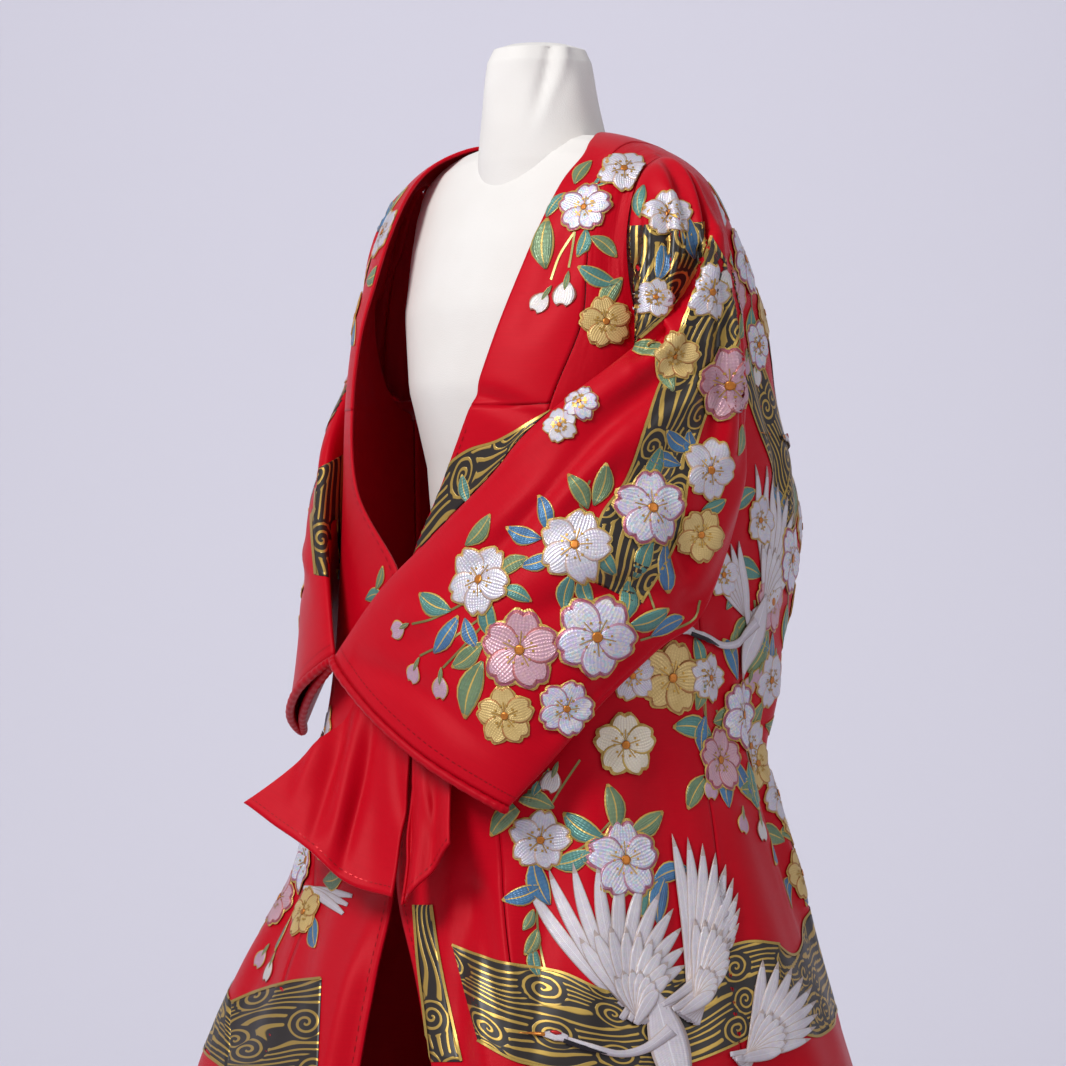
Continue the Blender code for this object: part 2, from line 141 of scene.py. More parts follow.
def form_cover(name, rows, power, folds_of):
    """A closed cover lofted through the form's rows."""
    heights = np.asarray(rows)
    count, levels = 72, 80
    mesh = bmesh.new()
    bmesh.ops.create_grid(mesh, x_segments=count, y_segments=levels, size=1.0)
    for vert in mesh.verts:
        turn = math.pi * vert.co.x
        at = (vert.co.y + 1) / 2 * (len(rows) - 1)
        low = min(int(at), len(rows) - 2)
        t = at - low
        t = t * t * (3 - 2 * t) if low == 0 else t
        z, width, depth, centre = heights[low] * (1 - t) + heights[low + 1] * t
        s, c = math.sin(turn), math.cos(turn)
        k = (abs(s) ** power + abs(c) ** power) ** (-1 / power)
        grow = 1 + folds_of(turn, z) / max(width, 0.02)
        fall = FORM_SAG * (abs(s * k) * width / FORM_SAG_WIDTH) ** 3 * min(max((z - 1.20) / 0.18, 0.0), 1.0)
        fall = fall if power > 2 else 0.0
        vert.co = (width * s * k * grow, centre - depth * c * k * grow, z - FORM_SINK - fall)
    bmesh.ops.remove_doubles(mesh, verts=mesh.verts[:], dist=1e-6)
    bmesh.ops.holes_fill(mesh, edges=[edge for edge in mesh.edges if edge.is_boundary])
    bmesh.ops.recalc_face_normals(mesh, faces=mesh.faces[:])
    data = bpy.data.meshes.new(name)
    mesh.to_mesh(data)
    mesh.free()
    for face in data.polygons:
        face.use_smooth = True
    data.materials.append(form_cloth)
    made = bpy.data.objects.new(name, data)
    bpy.context.scene.collection.objects.link(made)
    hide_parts("form_torso")
    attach(made, "root")


def neck_folds(turn, z):
    """The slack cover's tucks under the top of the neck, deeper on the left front."""
    top = min(max((z - 1.40) / 0.05, 0.0), 1.0) * min(max((1.4985 - z) / 0.006, 0.0), 1.0)
    tuck = math.sin(7 * turn + 20 * z) * 0.0012 + math.sin(3 * turn - 55 * z + 1.0) * 0.0010
    dent = -0.005 * math.exp(-((turn - 0.95 - 6.0 * (z - 1.46)) / 0.10) ** 2)
    ridge = 0.003 * math.exp(-((turn - 1.18 - 9.0 * (z - 1.46)) / 0.12) ** 2)
    return top * (tuck + dent + ridge)


def torso_folds(turn, z):
    return 0.0008 * math.sin(5 * turn + 30 * z) * min(max((1.30 - z) / 0.1, 0.0), 1.0)


form_cover("form_torso_cover", FORM_ROWS, 2.2, torso_folds)
form_cover("form_neck_cover", NECK_ROWS, 2.0, neck_folds)


# Body lengths: red silk satin with its lining, one length on each side.
# Each runs from the back hem over the shoulder to the front hem, and they meet in the back seam.
CLOTH = 0.0026          # silk and lining as drawn
SEAM_ANGLE = 0.0028
ROUND = 2.5
SHOULDER_SAG = 0.048
ARMHOLE_FRONT_DEG = 30.0
ARMHOLE_BACK_DEG = 17.0
ARMHOLE_ROW = 7.0
COLLAR_ROW = 7.0
BACK_COLLAR_EDGE = 2.0
BACK_COLLAR_SEAM = 4.0
HEM_ROW = 22.0
TUCK_ANGLE = 0.46
TUCK_SLANT = 0.95
SIDE = math.pi / 2
DETAIL = 1.0
COLUMNS = ("z", "left", "right", "front", "back", "left_edge", "left_seam", "right_edge", "right_seam")
SECTIONS = (
    (1.405, 0.200, 0.200, 0.000, 0.000, 0.095, 0.145, -0.095, -0.145),
    (1.397, 0.204, 0.204, 0.035, 0.045, 0.112, 0.150, -0.112, -0.150),
    (1.380, 0.207, 0.207, 0.062, 0.082, 0.125, 0.156, -0.125, -0.156),
    (1.350, 0.210, 0.209, 0.090, 0.118, 0.124, 0.163, -0.124, -0.163),
    (1.305, 0.213, 0.210, 0.117, 0.150, 0.121, 0.170, -0.121, -0.168),
    (1.258, 0.215, 0.211, 0.137, 0.180, 0.115, 0.177, -0.120, -0.173),
    (1.200, 0.218, 0.212, 0.158, 0.208, 0.106, 0.182, -0.121, -0.178),
    (1.125, 0.222, 0.212, 0.170, 0.228, 0.085, 0.166, -0.120, -0.176),
    (1.045, 0.226, 0.211, 0.174, 0.250, 0.050, 0.150, -0.102, -0.166),
    (0.960, 0.230, 0.210, 0.181, 0.243, 0.010, 0.140, -0.006, -0.145),
    (0.865, 0.235, 0.212, 0.191, 0.203, 0.012, 0.140, 0.004, -0.140),
    (0.790, 0.240, 0.222, 0.202, 0.168, 0.018, 0.143, 0.012, -0.135),
    (0.728, 0.249, 0.238, 0.208, 0.184, 0.026, 0.150, 0.020, -0.128),
    (0.646, 0.265, 0.266, 0.215, 0.214, 0.036, 0.165, 0.029, -0.120),
    (0.560, 0.283, 0.318, 0.252, 0.247, 0.090, 0.200, 0.032, -0.118),
    (0.456, 0.306, 0.378, 0.280, 0.288, 0.147, 0.235, 0.035, -0.115),
    (0.330, 0.328, 0.415, 0.312, 0.328, 0.190, 0.262, 0.036, -0.114),
    (0.200, 0.360, 0.455, 0.342, 0.385, 0.228, 0.290, 0.036, -0.114),
    (0.090, 0.390, 0.485, 0.366, 0.450, 0.258, 0.315, 0.036, -0.114),
    (0.022, 0.412, 0.508, 0.385, 0.525, 0.280, 0.335, 0.036, -0.114),
    (0.0045, 0.432, 0.526, 0.400, 0.620, 0.290, 0.345, 0.036, -0.114),
    (0.0035, 0.450, 0.545, 0.415, 0.730, 0.296, 0.350, 0.036, -0.114),
    (0.0035, 0.462, 0.560, 0.425, 0.840, 0.300, 0.355, 0.036, -0.114),
)
RED = (0.54, 0.0008, 0.011)


def table_at(rows, place, odd=()):
    cells = np.asarray(rows, dtype=float)
    last = len(cells) - 1
    place = np.clip(np.asarray(place, dtype=float), 0.0, last)
    low = np.minimum(place.astype(int), last - 1)
    t = (place - low)[..., None]
    before = cells[1].copy()
    for index in odd:
        before[index] = -before[index]
    cells = np.vstack([before, cells, 2 * cells[-1] - cells[-2]])
    a, b, c, d = cells[low], cells[low + 1], cells[low + 2], cells[low + 3]
    found = b + 0.5 * t * (c - a + t * (2 * a - 5 * b + 4 * c - d + t * (3 * (b - c) + d - a)))
    return np.moveaxis(found, -1, 0)


def section(row):
    return dict(zip(COLUMNS, table_at(SECTIONS, row, odd=(3, 4))))


def smooth(value, low, high):
    t = np.clip((np.asarray(value) - low) / (high - low), 0.0, 1.0)
    return t * t * (3 - 2 * t)


def folds(angle, z):
    skirt = smooth(z, 0.80, 0.10)
    hang = 0.010 * np.cos(9 * angle + 0.6) + 0.005 * np.cos(14 * angle - 1.1)
    train = 1.0 - 0.7 * smooth(z, 0.06, 0.01)
    depth = skirt * hang * train
    behind = smooth(np.abs(angle), 1.9, 2.6)
    gather = smooth(z, 0.56, 0.70) * smooth(z, 1.02, 0.86)
    depth = depth + 0.007 * behind * gather * np.cos(16 * angle)
    blouse = smooth(z, 0.88, 1.00) * smooth(z, 1.26, 1.12)
    depth = depth + 0.005 * behind * blouse * np.cos(24 * z + 3 * angle)
    tuck = smooth(z, 0.66, 0.54) * smooth(z, 0.0, 0.10)
    line = TUCK_ANGLE + TUCK_SLANT * (0.646 - np.maximum(z, 0.32))
    return depth - 0.016 * tuck * smooth(angle, line + 0.05, line - 0.05) * smooth(angle, 0.0, 0.10)


def slight(angle, z):
    """Small unevenness of hanging satin, in metres outward."""
    low = smooth(z, 1.30, 0.95)
    ripple = np.sin(23 * angle + 9 * z + 2.0 * np.sin(5 * z + angle))
    swell = np.sin(7 * angle - 12 * z + 1.3)
    return low * (0.0011 * ripple * smooth(z, 0.95, 0.6) + 0.0012 * swell)


def shell(angle, row):
    angle, row = np.broadcast_arrays(np.asarray(angle, float), np.asarray(row, float))
    part = section(row)
    width = np.where(angle >= 0, part["left"], part["right"])
    depth = np.where(np.abs(angle) < SIDE, part["front"], part["back"])
    s, c = np.sin(angle), np.cos(angle)
    k = (np.abs(s) ** ROUND + np.abs(c) ** ROUND) ** (-1 / ROUND)
    x, y = width * s * k, -depth * c * k
    z = part["z"] - SHOULDER_SAG * np.abs(s * k) ** 3 * smooth(row, 6.0, 0.0)
    radius = np.maximum(np.hypot(x, y), 0.02)
    grow = 1 + (folds(angle, z) + slight(angle, z)) / radius
    return np.stack([x * grow, y * grow, z], axis=-1)


def angle_at(x, row, behind=False):
    part = section(row)
    t = np.minimum(np.abs(x) / np.where(np.asarray(x) >= 0, part["left"], part["right"]), 0.999)
    angle = np.arctan2(t, (1 - t ** ROUND) ** (1 / ROUND))
    angle = math.pi - angle if behind else angle
    return np.where(np.asarray(x) >= 0, angle, -angle)


SECTION_HEIGHTS = section(np.linspace(0, HEM_ROW, 2201))["z"]


def body_radius(bearing, z):
    row = np.interp(-z, -SECTION_HEIGHTS, np.linspace(0, HEM_ROW, 2201))
    part = section(row)
    width = np.where(bearing >= 0, part["left"], part["right"])
    depth = np.where(np.abs(bearing) < SIDE, part["front"], part["back"])
    s = np.abs(np.sin(bearing)) / width
    c = np.abs(np.cos(bearing)) / np.maximum(depth, 0.004)
    angle = np.arctan2(s, c)
    angle = np.where(np.abs(bearing) < SIDE, angle, math.pi - angle)
    angle = np.copysign(angle, bearing)
    return (s ** ROUND + c ** ROUND) ** (-1 / ROUND) + folds(angle, z) + slight(angle, z)


def round_axis(bearing, radius, z):
    return np.stack([radius * np.sin(bearing), -radius * np.cos(bearing), z], axis=-1)


def armhole_angle(row, wide):
    return math.radians(wide) * np.sqrt(np.maximum(0.0, 1 - (row / ARMHOLE_ROW) ** 4))


# Where a pixel of the photo's frame lies, as seen from a turn round the figure; the photo's turn is 50.
PIXEL_FOCUS = 3922.0    # photo pixels per metre of width, one metre from the lens
PIXEL_MIDDLE = 533.0
LENS_DISTANCE = 4.0
LENS_HEIGHT = 1.0
LENS_ASIDE = -0.0102


def photo_pixels(points, turn):
    angle = math.radians(turn)
    back = np.array([math.sin(angle), -math.cos(angle), 0.0])
    right = np.array([math.cos(angle), math.sin(angle), 0.0])
    away = points - (right * LENS_ASIDE + [0, 0, LENS_HEIGHT] + back * LENS_DISTANCE)
    far = -(away @ back)
    x = PIXEL_MIDDLE + PIXEL_FOCUS * (away @ right) / far
    return x, PIXEL_MIDDLE - PIXEL_FOCUS * away[:, 2] / far, back


def press_creases(made, creases):
    """Presses soft troughs (depth below zero) and ridges into the cloth along lines seen from a turn."""
    data = made.data
    count = len(data.vertices)
    points, normals = np.empty(count * 3), np.empty(count * 3)
    data.vertices.foreach_get("co", points)
    data.vertex_normals.foreach_get("vector", normals)
    points, normals = points.reshape(-1, 3), normals.reshape(-1, 3)
    moved = points.copy()
    for turn, half, depth, *line in creases:
        x, y, back = photo_pixels(points, turn)
        near = np.asarray(line)
        low, high = near.min(0) - 3 * half, near.max(0) + 3 * half
        facing = normals @ back
        inside = (x > low[0]) & (x < high[0]) & (y > low[1]) & (y < high[1]) & (facing > 0.02)
        touched = np.nonzero(inside)[0]
        if not len(touched):
            continue
        x, y = x[touched], y[touched]
        path = table_at(line, np.linspace(0, len(line) - 1, 90)) if len(line) > 2 else np.stack(
            [np.linspace(line[0][i], line[1][i], 90) for i in (0, 1)])
        gap = np.hypot(x[:, None] - path[0][None, :], y[:, None] - path[1][None, :])
        nearest = gap.argmin(1)
        reach = gap[np.arange(len(touched)), nearest]
        along = nearest / 89.0
        taper = np.sin(math.pi * (0.05 + 0.90 * along)) ** 0.7
        seen = smooth(facing[touched], 0.02, 0.40)
        press = depth * np.exp(-(reach / half) ** 2) * taper * seen
        moved[touched] += normals[touched] * press[:, None]
    data.vertices.foreach_set("co", moved.astype(np.float32).ravel())
    data.update()


# One row for each crease: turn, half width in pixels, depth in metres, and the pixels that it passes.
BODY_CREASES = (
    (50, 10, -0.006, (462, 392), (500, 402), (545, 420)),
    (50, 12, -0.004, (640, 150), (625, 190), (612, 240), (604, 310)),
    (50, 14, -0.005, (600, 150), (582, 200), (560, 260), (530, 330)),
    (50, 12, -0.008, (470, 880), (462, 960), (458, 1060)),
    (50, 14, 0.006, (500, 880), (505, 960), (515, 1060)),
    (50, 15, -0.006, (640, 770), (650, 860), (668, 960)),
    (50, 14, -0.007, (716, 620), (718, 690), (722, 790)),
    (50, 10, -0.006, (744, 600), (748, 680), (752, 760)),
    (50, 16, 0.005, (703, 625), (703, 690), (706, 780)),
    (50, 16, -0.009, (560, 800), (545, 900), (530, 1060)),
    (50, 20, 0.008, (600, 790), (598, 900), (600, 1060)),
    (50, 18, -0.009, (655, 760), (675, 880), (700, 1066)),
    (50, 20, 0.008, (715, 800), (745, 920), (780, 1066)),
    (50, 16, -0.006, (757, 790), (790, 900), (828, 1050)),
    (50, 18, -0.007, (470, 880), (490, 960), (510, 1066)),
    (50, 14, -0.008, (290, 900), (262, 980), (235, 1066)),
    (50, 14, -0.006, (322, 880), (300, 970), (282, 1066)),
    (50, 12, -0.004, (748, 300), (765, 360), (774, 430)),
    (50, 12, -0.005, (790, 470), (765, 510), (745, 560)),
    (110, 16, -0.007, (560, 300), (600, 420), (620, 540)),
    (110, 16, -0.006, (690, 330), (680, 450), (650, 580)),
    (110, 18, -0.008, (540, 640), (560, 760), (600, 1000)),
    (110, 18, -0.008, (650, 640), (680, 800), (720, 1060)),
    (110, 20, 0.007, (600, 660), (630, 800), (660, 1040)),
    (180, 18, -0.007, (470, 300), (500, 430), (520, 560)),
    (180, 18, -0.007, (620, 320), (590, 450), (560, 570)),
    (180, 16, -0.006, (430, 420), (480, 480), (540, 500)),
    (180, 20, -0.009, (480, 640), (450, 800), (410, 1050)),
    (180, 20, -0.009, (600, 640), (640, 820), (680, 1060)),
    (180, 20, 0.008, (540, 660), (545, 820), (550, 1050)),
    (250, 16, -0.006, (480, 320), (500, 440), (520, 560)),
    (250, 18, -0.008, (450, 640), (420, 800), (380, 1050)),
    (250, 18, -0.008, (560, 640), (590, 820), (630, 1050)),
    (250, 20, 0.007, (510, 660), (500, 820), (500, 1040)),
    (320, 16, -0.007, (420, 700), (380, 850), (330, 1050)),
    (320, 18, 0.007, (480, 700), (460, 860), (430, 1050)),
    (320, 16, -0.007, (540, 700), (540, 860), (530, 1050)),
)


def body_surface(hand):
    side = "left" if hand > 0 else "right"

    def surface(u, v):
        row = np.abs(v)
        back_x = SECTIONS[0][6] * np.sqrt(np.maximum(0.0, 1 - (row / BACK_COLLAR_SEAM) ** 2))
        back_in = angle_at(back_x, row, behind=True) - SEAM_ANGLE / 2
        back_out = SIDE + armhole_angle(row, ARMHOLE_BACK_DEG) + SEAM_ANGLE
        front_in = hand * angle_at(section(row)[side + "_seam"], row) + SEAM_ANGLE / 2
        front_out = SIDE - armhole_angle(row, ARMHOLE_FRONT_DEG) - SEAM_ANGLE
        inner = np.where(v > 0, back_in, front_in)
        outer = np.where(v > 0, back_out, front_out)
        return shell(hand * (inner + (outer - inner) * u), row)

    return surface


def even_places(surface, places, count, across=0.5):
    """Places along a surface that are evenly spaced in metres."""
    fine = np.interp(np.linspace(0, len(places) - 1, 1200), np.arange(len(places)), places)
    points = surface(np.full(fine.shape, across), fine)
    length = np.concatenate([[0.0], np.cumsum(np.linalg.norm(np.diff(points, axis=0), axis=1))])
    length = length + np.linspace(0, 0.05 * length[-1], len(length))
    return np.interp(np.linspace(0, length[-1], count + 1), length, fine)


def cloth_piece(name, surface, across, along, look, cloth=CLOTH, tube=False):
    """A grid of cloth laid on a surface function, with a UV map in metres and a real thickness."""
    across, along = np.asarray(across), np.asarray(along)
    mesh = bmesh.new()
    bmesh.ops.create_grid(mesh, x_segments=len(across) - 1, y_segments=len(along) - 1, size=1.0)
    data = bpy.data.meshes.new(name)
    mesh.to_mesh(data)
    mesh.free()
    flat = np.empty(len(data.vertices) * 3)
    data.vertices.foreach_get("co", flat)
    flat = flat.reshape(-1, 3)
    i = np.rint((flat[:, 0] + 1) / 2 * (len(across) - 1)).astype(int)
    j = np.rint((flat[:, 1] + 1) / 2 * (len(along) - 1)).astype(int)
    grid = surface(across[None, :].repeat(len(along), 0), along[:, None].repeat(len(across), 1))
    data.vertices.foreach_set("co", grid[j, i].astype(np.float32).ravel())
    wide = np.linalg.norm(np.diff(grid, axis=1), axis=2).mean(0)
    deep = np.linalg.norm(np.diff(grid, axis=0), axis=2).mean(1)
    u = np.concatenate([[0.0], np.cumsum(wide)])
    v = np.concatenate([[0.0], np.cumsum(deep)])
    corners = np.empty(len(data.loops), dtype=int)
    data.loops.foreach_get("vertex_index", corners)
    layer = data.uv_layers.new(name="cloth")
    layer.data.foreach_set("uv", np.stack([u[i[corners]], v[j[corners]]], axis=-1).ravel())
    if tube:
        mesh = bmesh.new()
        mesh.from_mesh(data)
        bmesh.ops.remove_doubles(mesh, verts=mesh.verts[:], dist=1e-6)
        mesh.to_mesh(data)
        mesh.free()
    made = bpy.data.objects.new(name, data)
    bpy.context.scene.collection.objects.link(made)
    face_outward(made)
    for face in data.polygons:
        face.use_smooth = True
    data.materials.append(look)
    wall = made.modifiers.new("cloth", "SOLIDIFY")
    wall.thickness = cloth
    wall.offset = 0.0
    wall.use_even_offset = False
    return made


def face_outward(made):
    """Turns the grid over where most of its faces look toward the axis."""
    data = made.data
    centres = np.empty(len(data.polygons) * 3)
    normals = np.empty(len(data.polygons) * 3)
    data.polygons.foreach_get("center", centres)
    data.polygons.foreach_get("normal", normals)
    centres, normals = centres.reshape(-1, 3), normals.reshape(-1, 3)
    away = (centres[:, :2] * normals[:, :2]).sum(1) + 0.3 * normals[:, 2]
    if away.sum() < 0:
        data.flip_normals()


def silk_material(name, colour):
    made, tree, shader = new_material(name, colour, 0.40)
    shader.inputs["Specular IOR Level"].default_value = 0.32
    shader.inputs["Specular Tint"].default_value = (1.0, 0.22, 0.24, 1.0)
    shader.inputs["Sheen Weight"].default_value = 0.03
    shader.inputs["Sheen Roughness"].default_value = 0.45
    shader.inputs["Sheen Tint"].default_value = (1.0, 0.16, 0.10, 1.0)
    uv = node(tree, "ShaderNodeUVMap", "cloth in metres", uv_map="cloth").outputs["UV"]
    twill = node(tree, "ShaderNodeTexWave", "satin floats", sockets={
        "Scale": 900.0, "Distortion": 0.8, "Vector": uv}, wave_type="BANDS", bands_direction="DIAGONAL")
    slub = node(tree, "ShaderNodeTexNoise", "thread thickness", sockets={"Scale": 1.0, "Detail": 3.0})
    stretch = node(tree, "ShaderNodeMapping", "along the weft", sockets={"Scale": (40.0, 700.0, 1.0), "Vector": uv})
    link(tree, stretch.outputs["Vector"], slub.inputs["Vector"])
    weave = math_node(tree, "MULTIPLY_ADD", slub.outputs["Fac"], 0.6)
    link(tree, twill.outputs["Fac"], weave.node.inputs[2])
    bump = node(tree, "ShaderNodeBump", sockets={"Strength": 0.22, "Distance": 0.0003, "Height": weave})
    ease = node(tree, "ShaderNodeTexNoise", "small ease in the cloth", sockets={
        "Scale": 9.0, "Detail": 2.5, "Vector": uv})
    soft = node(tree, "ShaderNodeBump", sockets={
        "Strength": 0.35, "Distance": 0.006, "Height": ease.outputs["Fac"]})
    link(tree, soft.outputs["Normal"], bump.inputs["Normal"])
    link(tree, bump.outputs["Normal"], shader.inputs["Normal"])
    deep = tuple(part * 0.82 for part in colour)
    shade = mix_colour(tree, slub.outputs["Fac"], deep, colour)
    link(tree, shade, shader.inputs["Base Color"])
    return made


silk = silk_material("red_silk", RED)
length_rows = [-HEM_ROW, -20.0, -14.0, -7.0, -3.0, 0.0, 3.0, 7.0, 14.0, 20.0, HEM_ROW]
pieces = {}
for hand, name, wide, long in ((1, "body_left", 76, 380), (-1, "body_right", 56, 300)):
    surface = body_surface(hand)
    along = even_places(surface, length_rows, int(long * DETAIL))
    across = np.linspace(0, 1, int(wide * DETAIL) + 1)
    piece = cloth_piece(name + "_silk", surface, across, along, silk)
    press_creases(piece, BODY_CREASES)
    pieces[name] = piece
    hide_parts(name)
    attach(piece, "root")


# Overlap panels: half width silk strips at the front edges, sewn to the body lengths.
# The left one's edge is folded back inside the skirt.
def okumi_surface(hand):
    side = "left" if hand > 0 else "right"

    def surface(u, v):
        part = section(v)
        edge = angle_at(part[side + "_edge"], v)
        seam = angle_at(part[side + "_seam"], v) - hand * SEAM_ANGLE / 2
        return shell(edge + (seam - edge) * u, v)

    return surface


for hand, name in ((1, "okumi_left"), (-1, "okumi_right")):
    surface = okumi_surface(hand)
    along = even_places(surface, [COLLAR_ROW + 0.003, 10.0, 14.0, 18.0, 20.0, HEM_ROW], int(220 * DETAIL))
    across = np.linspace(0, 1, int(26 * DETAIL) + 1)
    piece = cloth_piece(name + "_silk", surface, across, along, silk)
    press_creases(piece, BODY_CREASES)
    pieces[name] = piece
    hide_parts(name)
    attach(piece, "root")


# Collar: one wide silk strip from the left front, round the back of the neck, to the right front.
# It is folded double, so it is thicker than the body.
COLLAR_TURN = 0.4       # share of each half that goes round the back


def collar_surface(u, v):
    hand = np.where(v < 0, 1.0, -1.0)
    place = 1 - np.abs(v)
    front_row = np.maximum(COLLAR_ROW * (1 - place / (1 - COLLAR_TURN)), 0.0)
    part = section(front_row)
    edge = np.where(hand > 0, part["left_edge"], part["right_edge"])
    seam = np.where(hand > 0, part["left_seam"], part["right_seam"]) - hand * 0.0006
    front = shell(angle_at(edge + (seam - edge) * u, front_row), front_row)
    turn = np.maximum((place - 1 + COLLAR_TURN) / COLLAR_TURN, 0.0) * SIDE
    low_edge, low_seam = BACK_COLLAR_EDGE * np.sin(turn), (BACK_COLLAR_SEAM - 0.015) * np.sin(turn)
    row = low_edge + (low_seam - low_edge) * u
    x_edge, x_seam = SECTIONS[0][5] * np.cos(turn), (SECTIONS[0][6] - 0.0006) * np.cos(turn)
    x = np.maximum(x_edge + (x_seam - x_edge) * u, 1e-9) * hand
    back = shell(angle_at(x, row, behind=True), row)
    return np.where((place <= 1 - COLLAR_TURN)[..., None], front, back)


along = even_places(collar_surface, [-1.0, -0.4, 0.0, 0.4, 1.0], int(300 * DETAIL))
collar = cloth_piece("collar_silk", collar_surface, np.linspace(0, 1, 25), along, silk, cloth=0.0034)
press_creases(collar, BODY_CREASES)
pieces["collar"] = collar
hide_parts("collar")
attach(collar, "root")


# Sleeves: each one length folded into a tube and set on the armhole.
# They are drawn forward and turned up inside, so that they lie like forearms across the front.
SLEEVE_COLUMNS = ("front_deg", "front_z", "back_deg", "back_z", "lift", "puff")
LEFT_SLEEVE = (
    (71.0, 1.180, 97.0, 1.100, 0.0045, 0.027),
    (65.0, 1.160, 97.0, 1.052, 0.0045, 0.029),
    (54.0, 1.124, 94.0, 1.005, 0.0045, 0.029),
    (45.0, 1.090, 84.5, 0.922, 0.005, 0.029),
    (37.0, 1.052, 74.0, 0.890, 0.006, 0.028),
    (21.0, 0.996, 62.0, 0.840, 0.010, 0.024),
    (3.0, 0.942, 52.0, 0.787, 0.016, 0.019),
    (-12.6, 0.878, 43.0, 0.741, 0.024, 0.013),
)
SLEEVE_END = len(LEFT_SLEEVE) - 1.0
RIGHT_SLEEVE_TURN = 0.72
RIGHT_SLEEVE_PUFF = 0.62
RIGHT_CUFF_NARROW = 0.42
WALL = 0.003
SEAM = 0.0003


def sleeve_surface(hand):
    share = 1.0 if hand > 0 else RIGHT_SLEEVE_TURN

    def station(ring, place):
        value = dict(zip(SLEEVE_COLUMNS, table_at(LEFT_SLEEVE, place)))
        q = np.cos(ring)
        front = 90 + (value["front_deg"] - 90) * share
        back = 90 + (value["back_deg"] - 90) * share
        bearing = np.radians((front + back) / 2 + (front - back) / 2 * q)
        high, low = value["front_z"], value["back_z"]
        puff = value["puff"]
        if hand < 0:
            low = low + (high - low) * RIGHT_CUFF_NARROW * smooth(place, 2.0, 7.0)
            puff = puff * RIGHT_SLEEVE_PUFF
        z = (high + low) / 2 + (high - low) / 2 * q
        outer = np.maximum(np.sin(ring), 0.0)
        crease = 0.004 * outer * np.cos(9 * ring + 1.2 * place) * smooth(place, 6.5, 3.0)
        pinch = 0.010 * outer * np.exp(-((place - 3.0) / 0.9) ** 2) * smooth(q, -0.3, -0.9)
        off = value["lift"] + puff * (1 + np.sin(ring)) + crease - pinch
        return bearing, z, off

    def armhole(ring):
        row = ARMHOLE_ROW * (1 - np.sin(ring)) / 2 * 0.97
        ahead = SIDE - armhole_angle(row, ARMHOLE_FRONT_DEG)
        behind = SIDE + armhole_angle(row, ARMHOLE_BACK_DEG)
        edge = shell(hand * np.where(np.cos(ring) > 0, ahead, behind), row)
        bearing = np.arctan2(edge[..., 0] * hand, -edge[..., 1])
        radius = np.hypot(edge[..., 0], edge[..., 1])
        z = edge[..., 2]
        return bearing, z, radius - body_radius(hand * bearing, z) + WALL + SEAM

    def surface(u, v):
        ring = 2 * math.pi * u
        low_bearing, low_z, low_off = station(ring, np.maximum(v, 0.0))
        t = 1 + np.clip(v, -1.0, 0.0)
        start, end = armhole(ring), station(ring, np.zeros_like(ring))
        fall, swell = 1 - np.cos(t * SIDE), np.sin(t * SIDE)
        bearing = start[0] + (end[0] - start[0]) * fall
        z = start[1] + (end[1] - start[1]) * fall
        off = start[2] + (end[2] - start[2]) * swell
        ahead = np.maximum(np.sin(ring + 0.6), 0.0)
        gather = np.cos(10 * ring) * 0.006 * ahead * np.maximum(np.sin(t * math.pi), 0.0) ** 0.7
        layer = 0.012 * smooth(np.degrees(ring) - 170 * (1 - t), 0, 14 + 30 * (1 - t))
        layer = layer * np.maximum(np.sin(ring), 0.0) * swell
        off = off + gather + layer * smooth(t, 1.0, 0.9)
        upper = v < 0
        bearing = np.where(upper, bearing, low_bearing)
        z = np.where(upper, z, low_z)
        off = np.where(upper, off, low_off)
        return round_axis(hand * bearing, body_radius(hand * bearing, z) + off, z)

    return surface


SLEEVE_CREASES = (
    (50, 6, -0.008, (640, 208), (634, 270), (628, 350)),
    (50, 7, 0.009, (653, 205), (650, 270), (648, 345)),
    (50, 6, -0.011, (666, 196), (666, 260), (664, 330)),
    (50, 7, 0.009, (679, 200), (681, 250), (678, 300)),
    (50, 10, -0.021, (696, 236), (688, 276), (668, 322), (640, 356)),
    (50, 8, 0.011, (716, 232), (708, 270), (691, 308), (666, 344), (634, 366)),
    (50, 6, -0.006, (622, 225), (618, 280), (612, 345)),
    (50, 12, -0.008, (660, 380), (600, 430), (540, 500), (470, 580)),
    (50, 14, 0.006, (640, 430), (585, 480), (520, 560), (440, 640)),
    (50, 12, -0.005, (600, 470), (540, 540), (470, 610), (400, 650)),
    (50, 10, 0.004, (664, 392), (642, 440), (622, 490), (600, 525)),
    (50, 13, -0.009, (694, 610), (680, 560), (672, 500), (680, 430)),
    (50, 11, -0.007, (694, 612), (650, 590), (600, 590), (540, 610)),
    (50, 12, 0.005, (690, 590), (640, 565), (590, 560)),
    (50, 12, -0.006, (690, 625), (640, 650), (590, 700), (540, 740)),
    (50, 14, 0.006, (735, 300), (730, 380), (728, 460), (712, 540)),
    (50, 12, -0.006, (716, 330), (710, 420), (704, 500)),
    (50, 14, -0.005, (350, 660), (420, 690), (480, 740)),
    (50, 14, 0.004, (400, 610), (470, 650), (530, 700)),
    (320, 9, -0.006, (380, 300), (372, 400), (378, 480)),
    (320, 10, 0.005, (400, 300), (394, 400), (400, 480)),
    (320, 10, -0.007, (400, 520), (450, 560), (520, 600)),
    (320, 10, 0.005, (420, 500), (470, 540), (540, 570)),
    (250, 10, -0.006, (470, 300), (466, 380), (470, 450)),
)
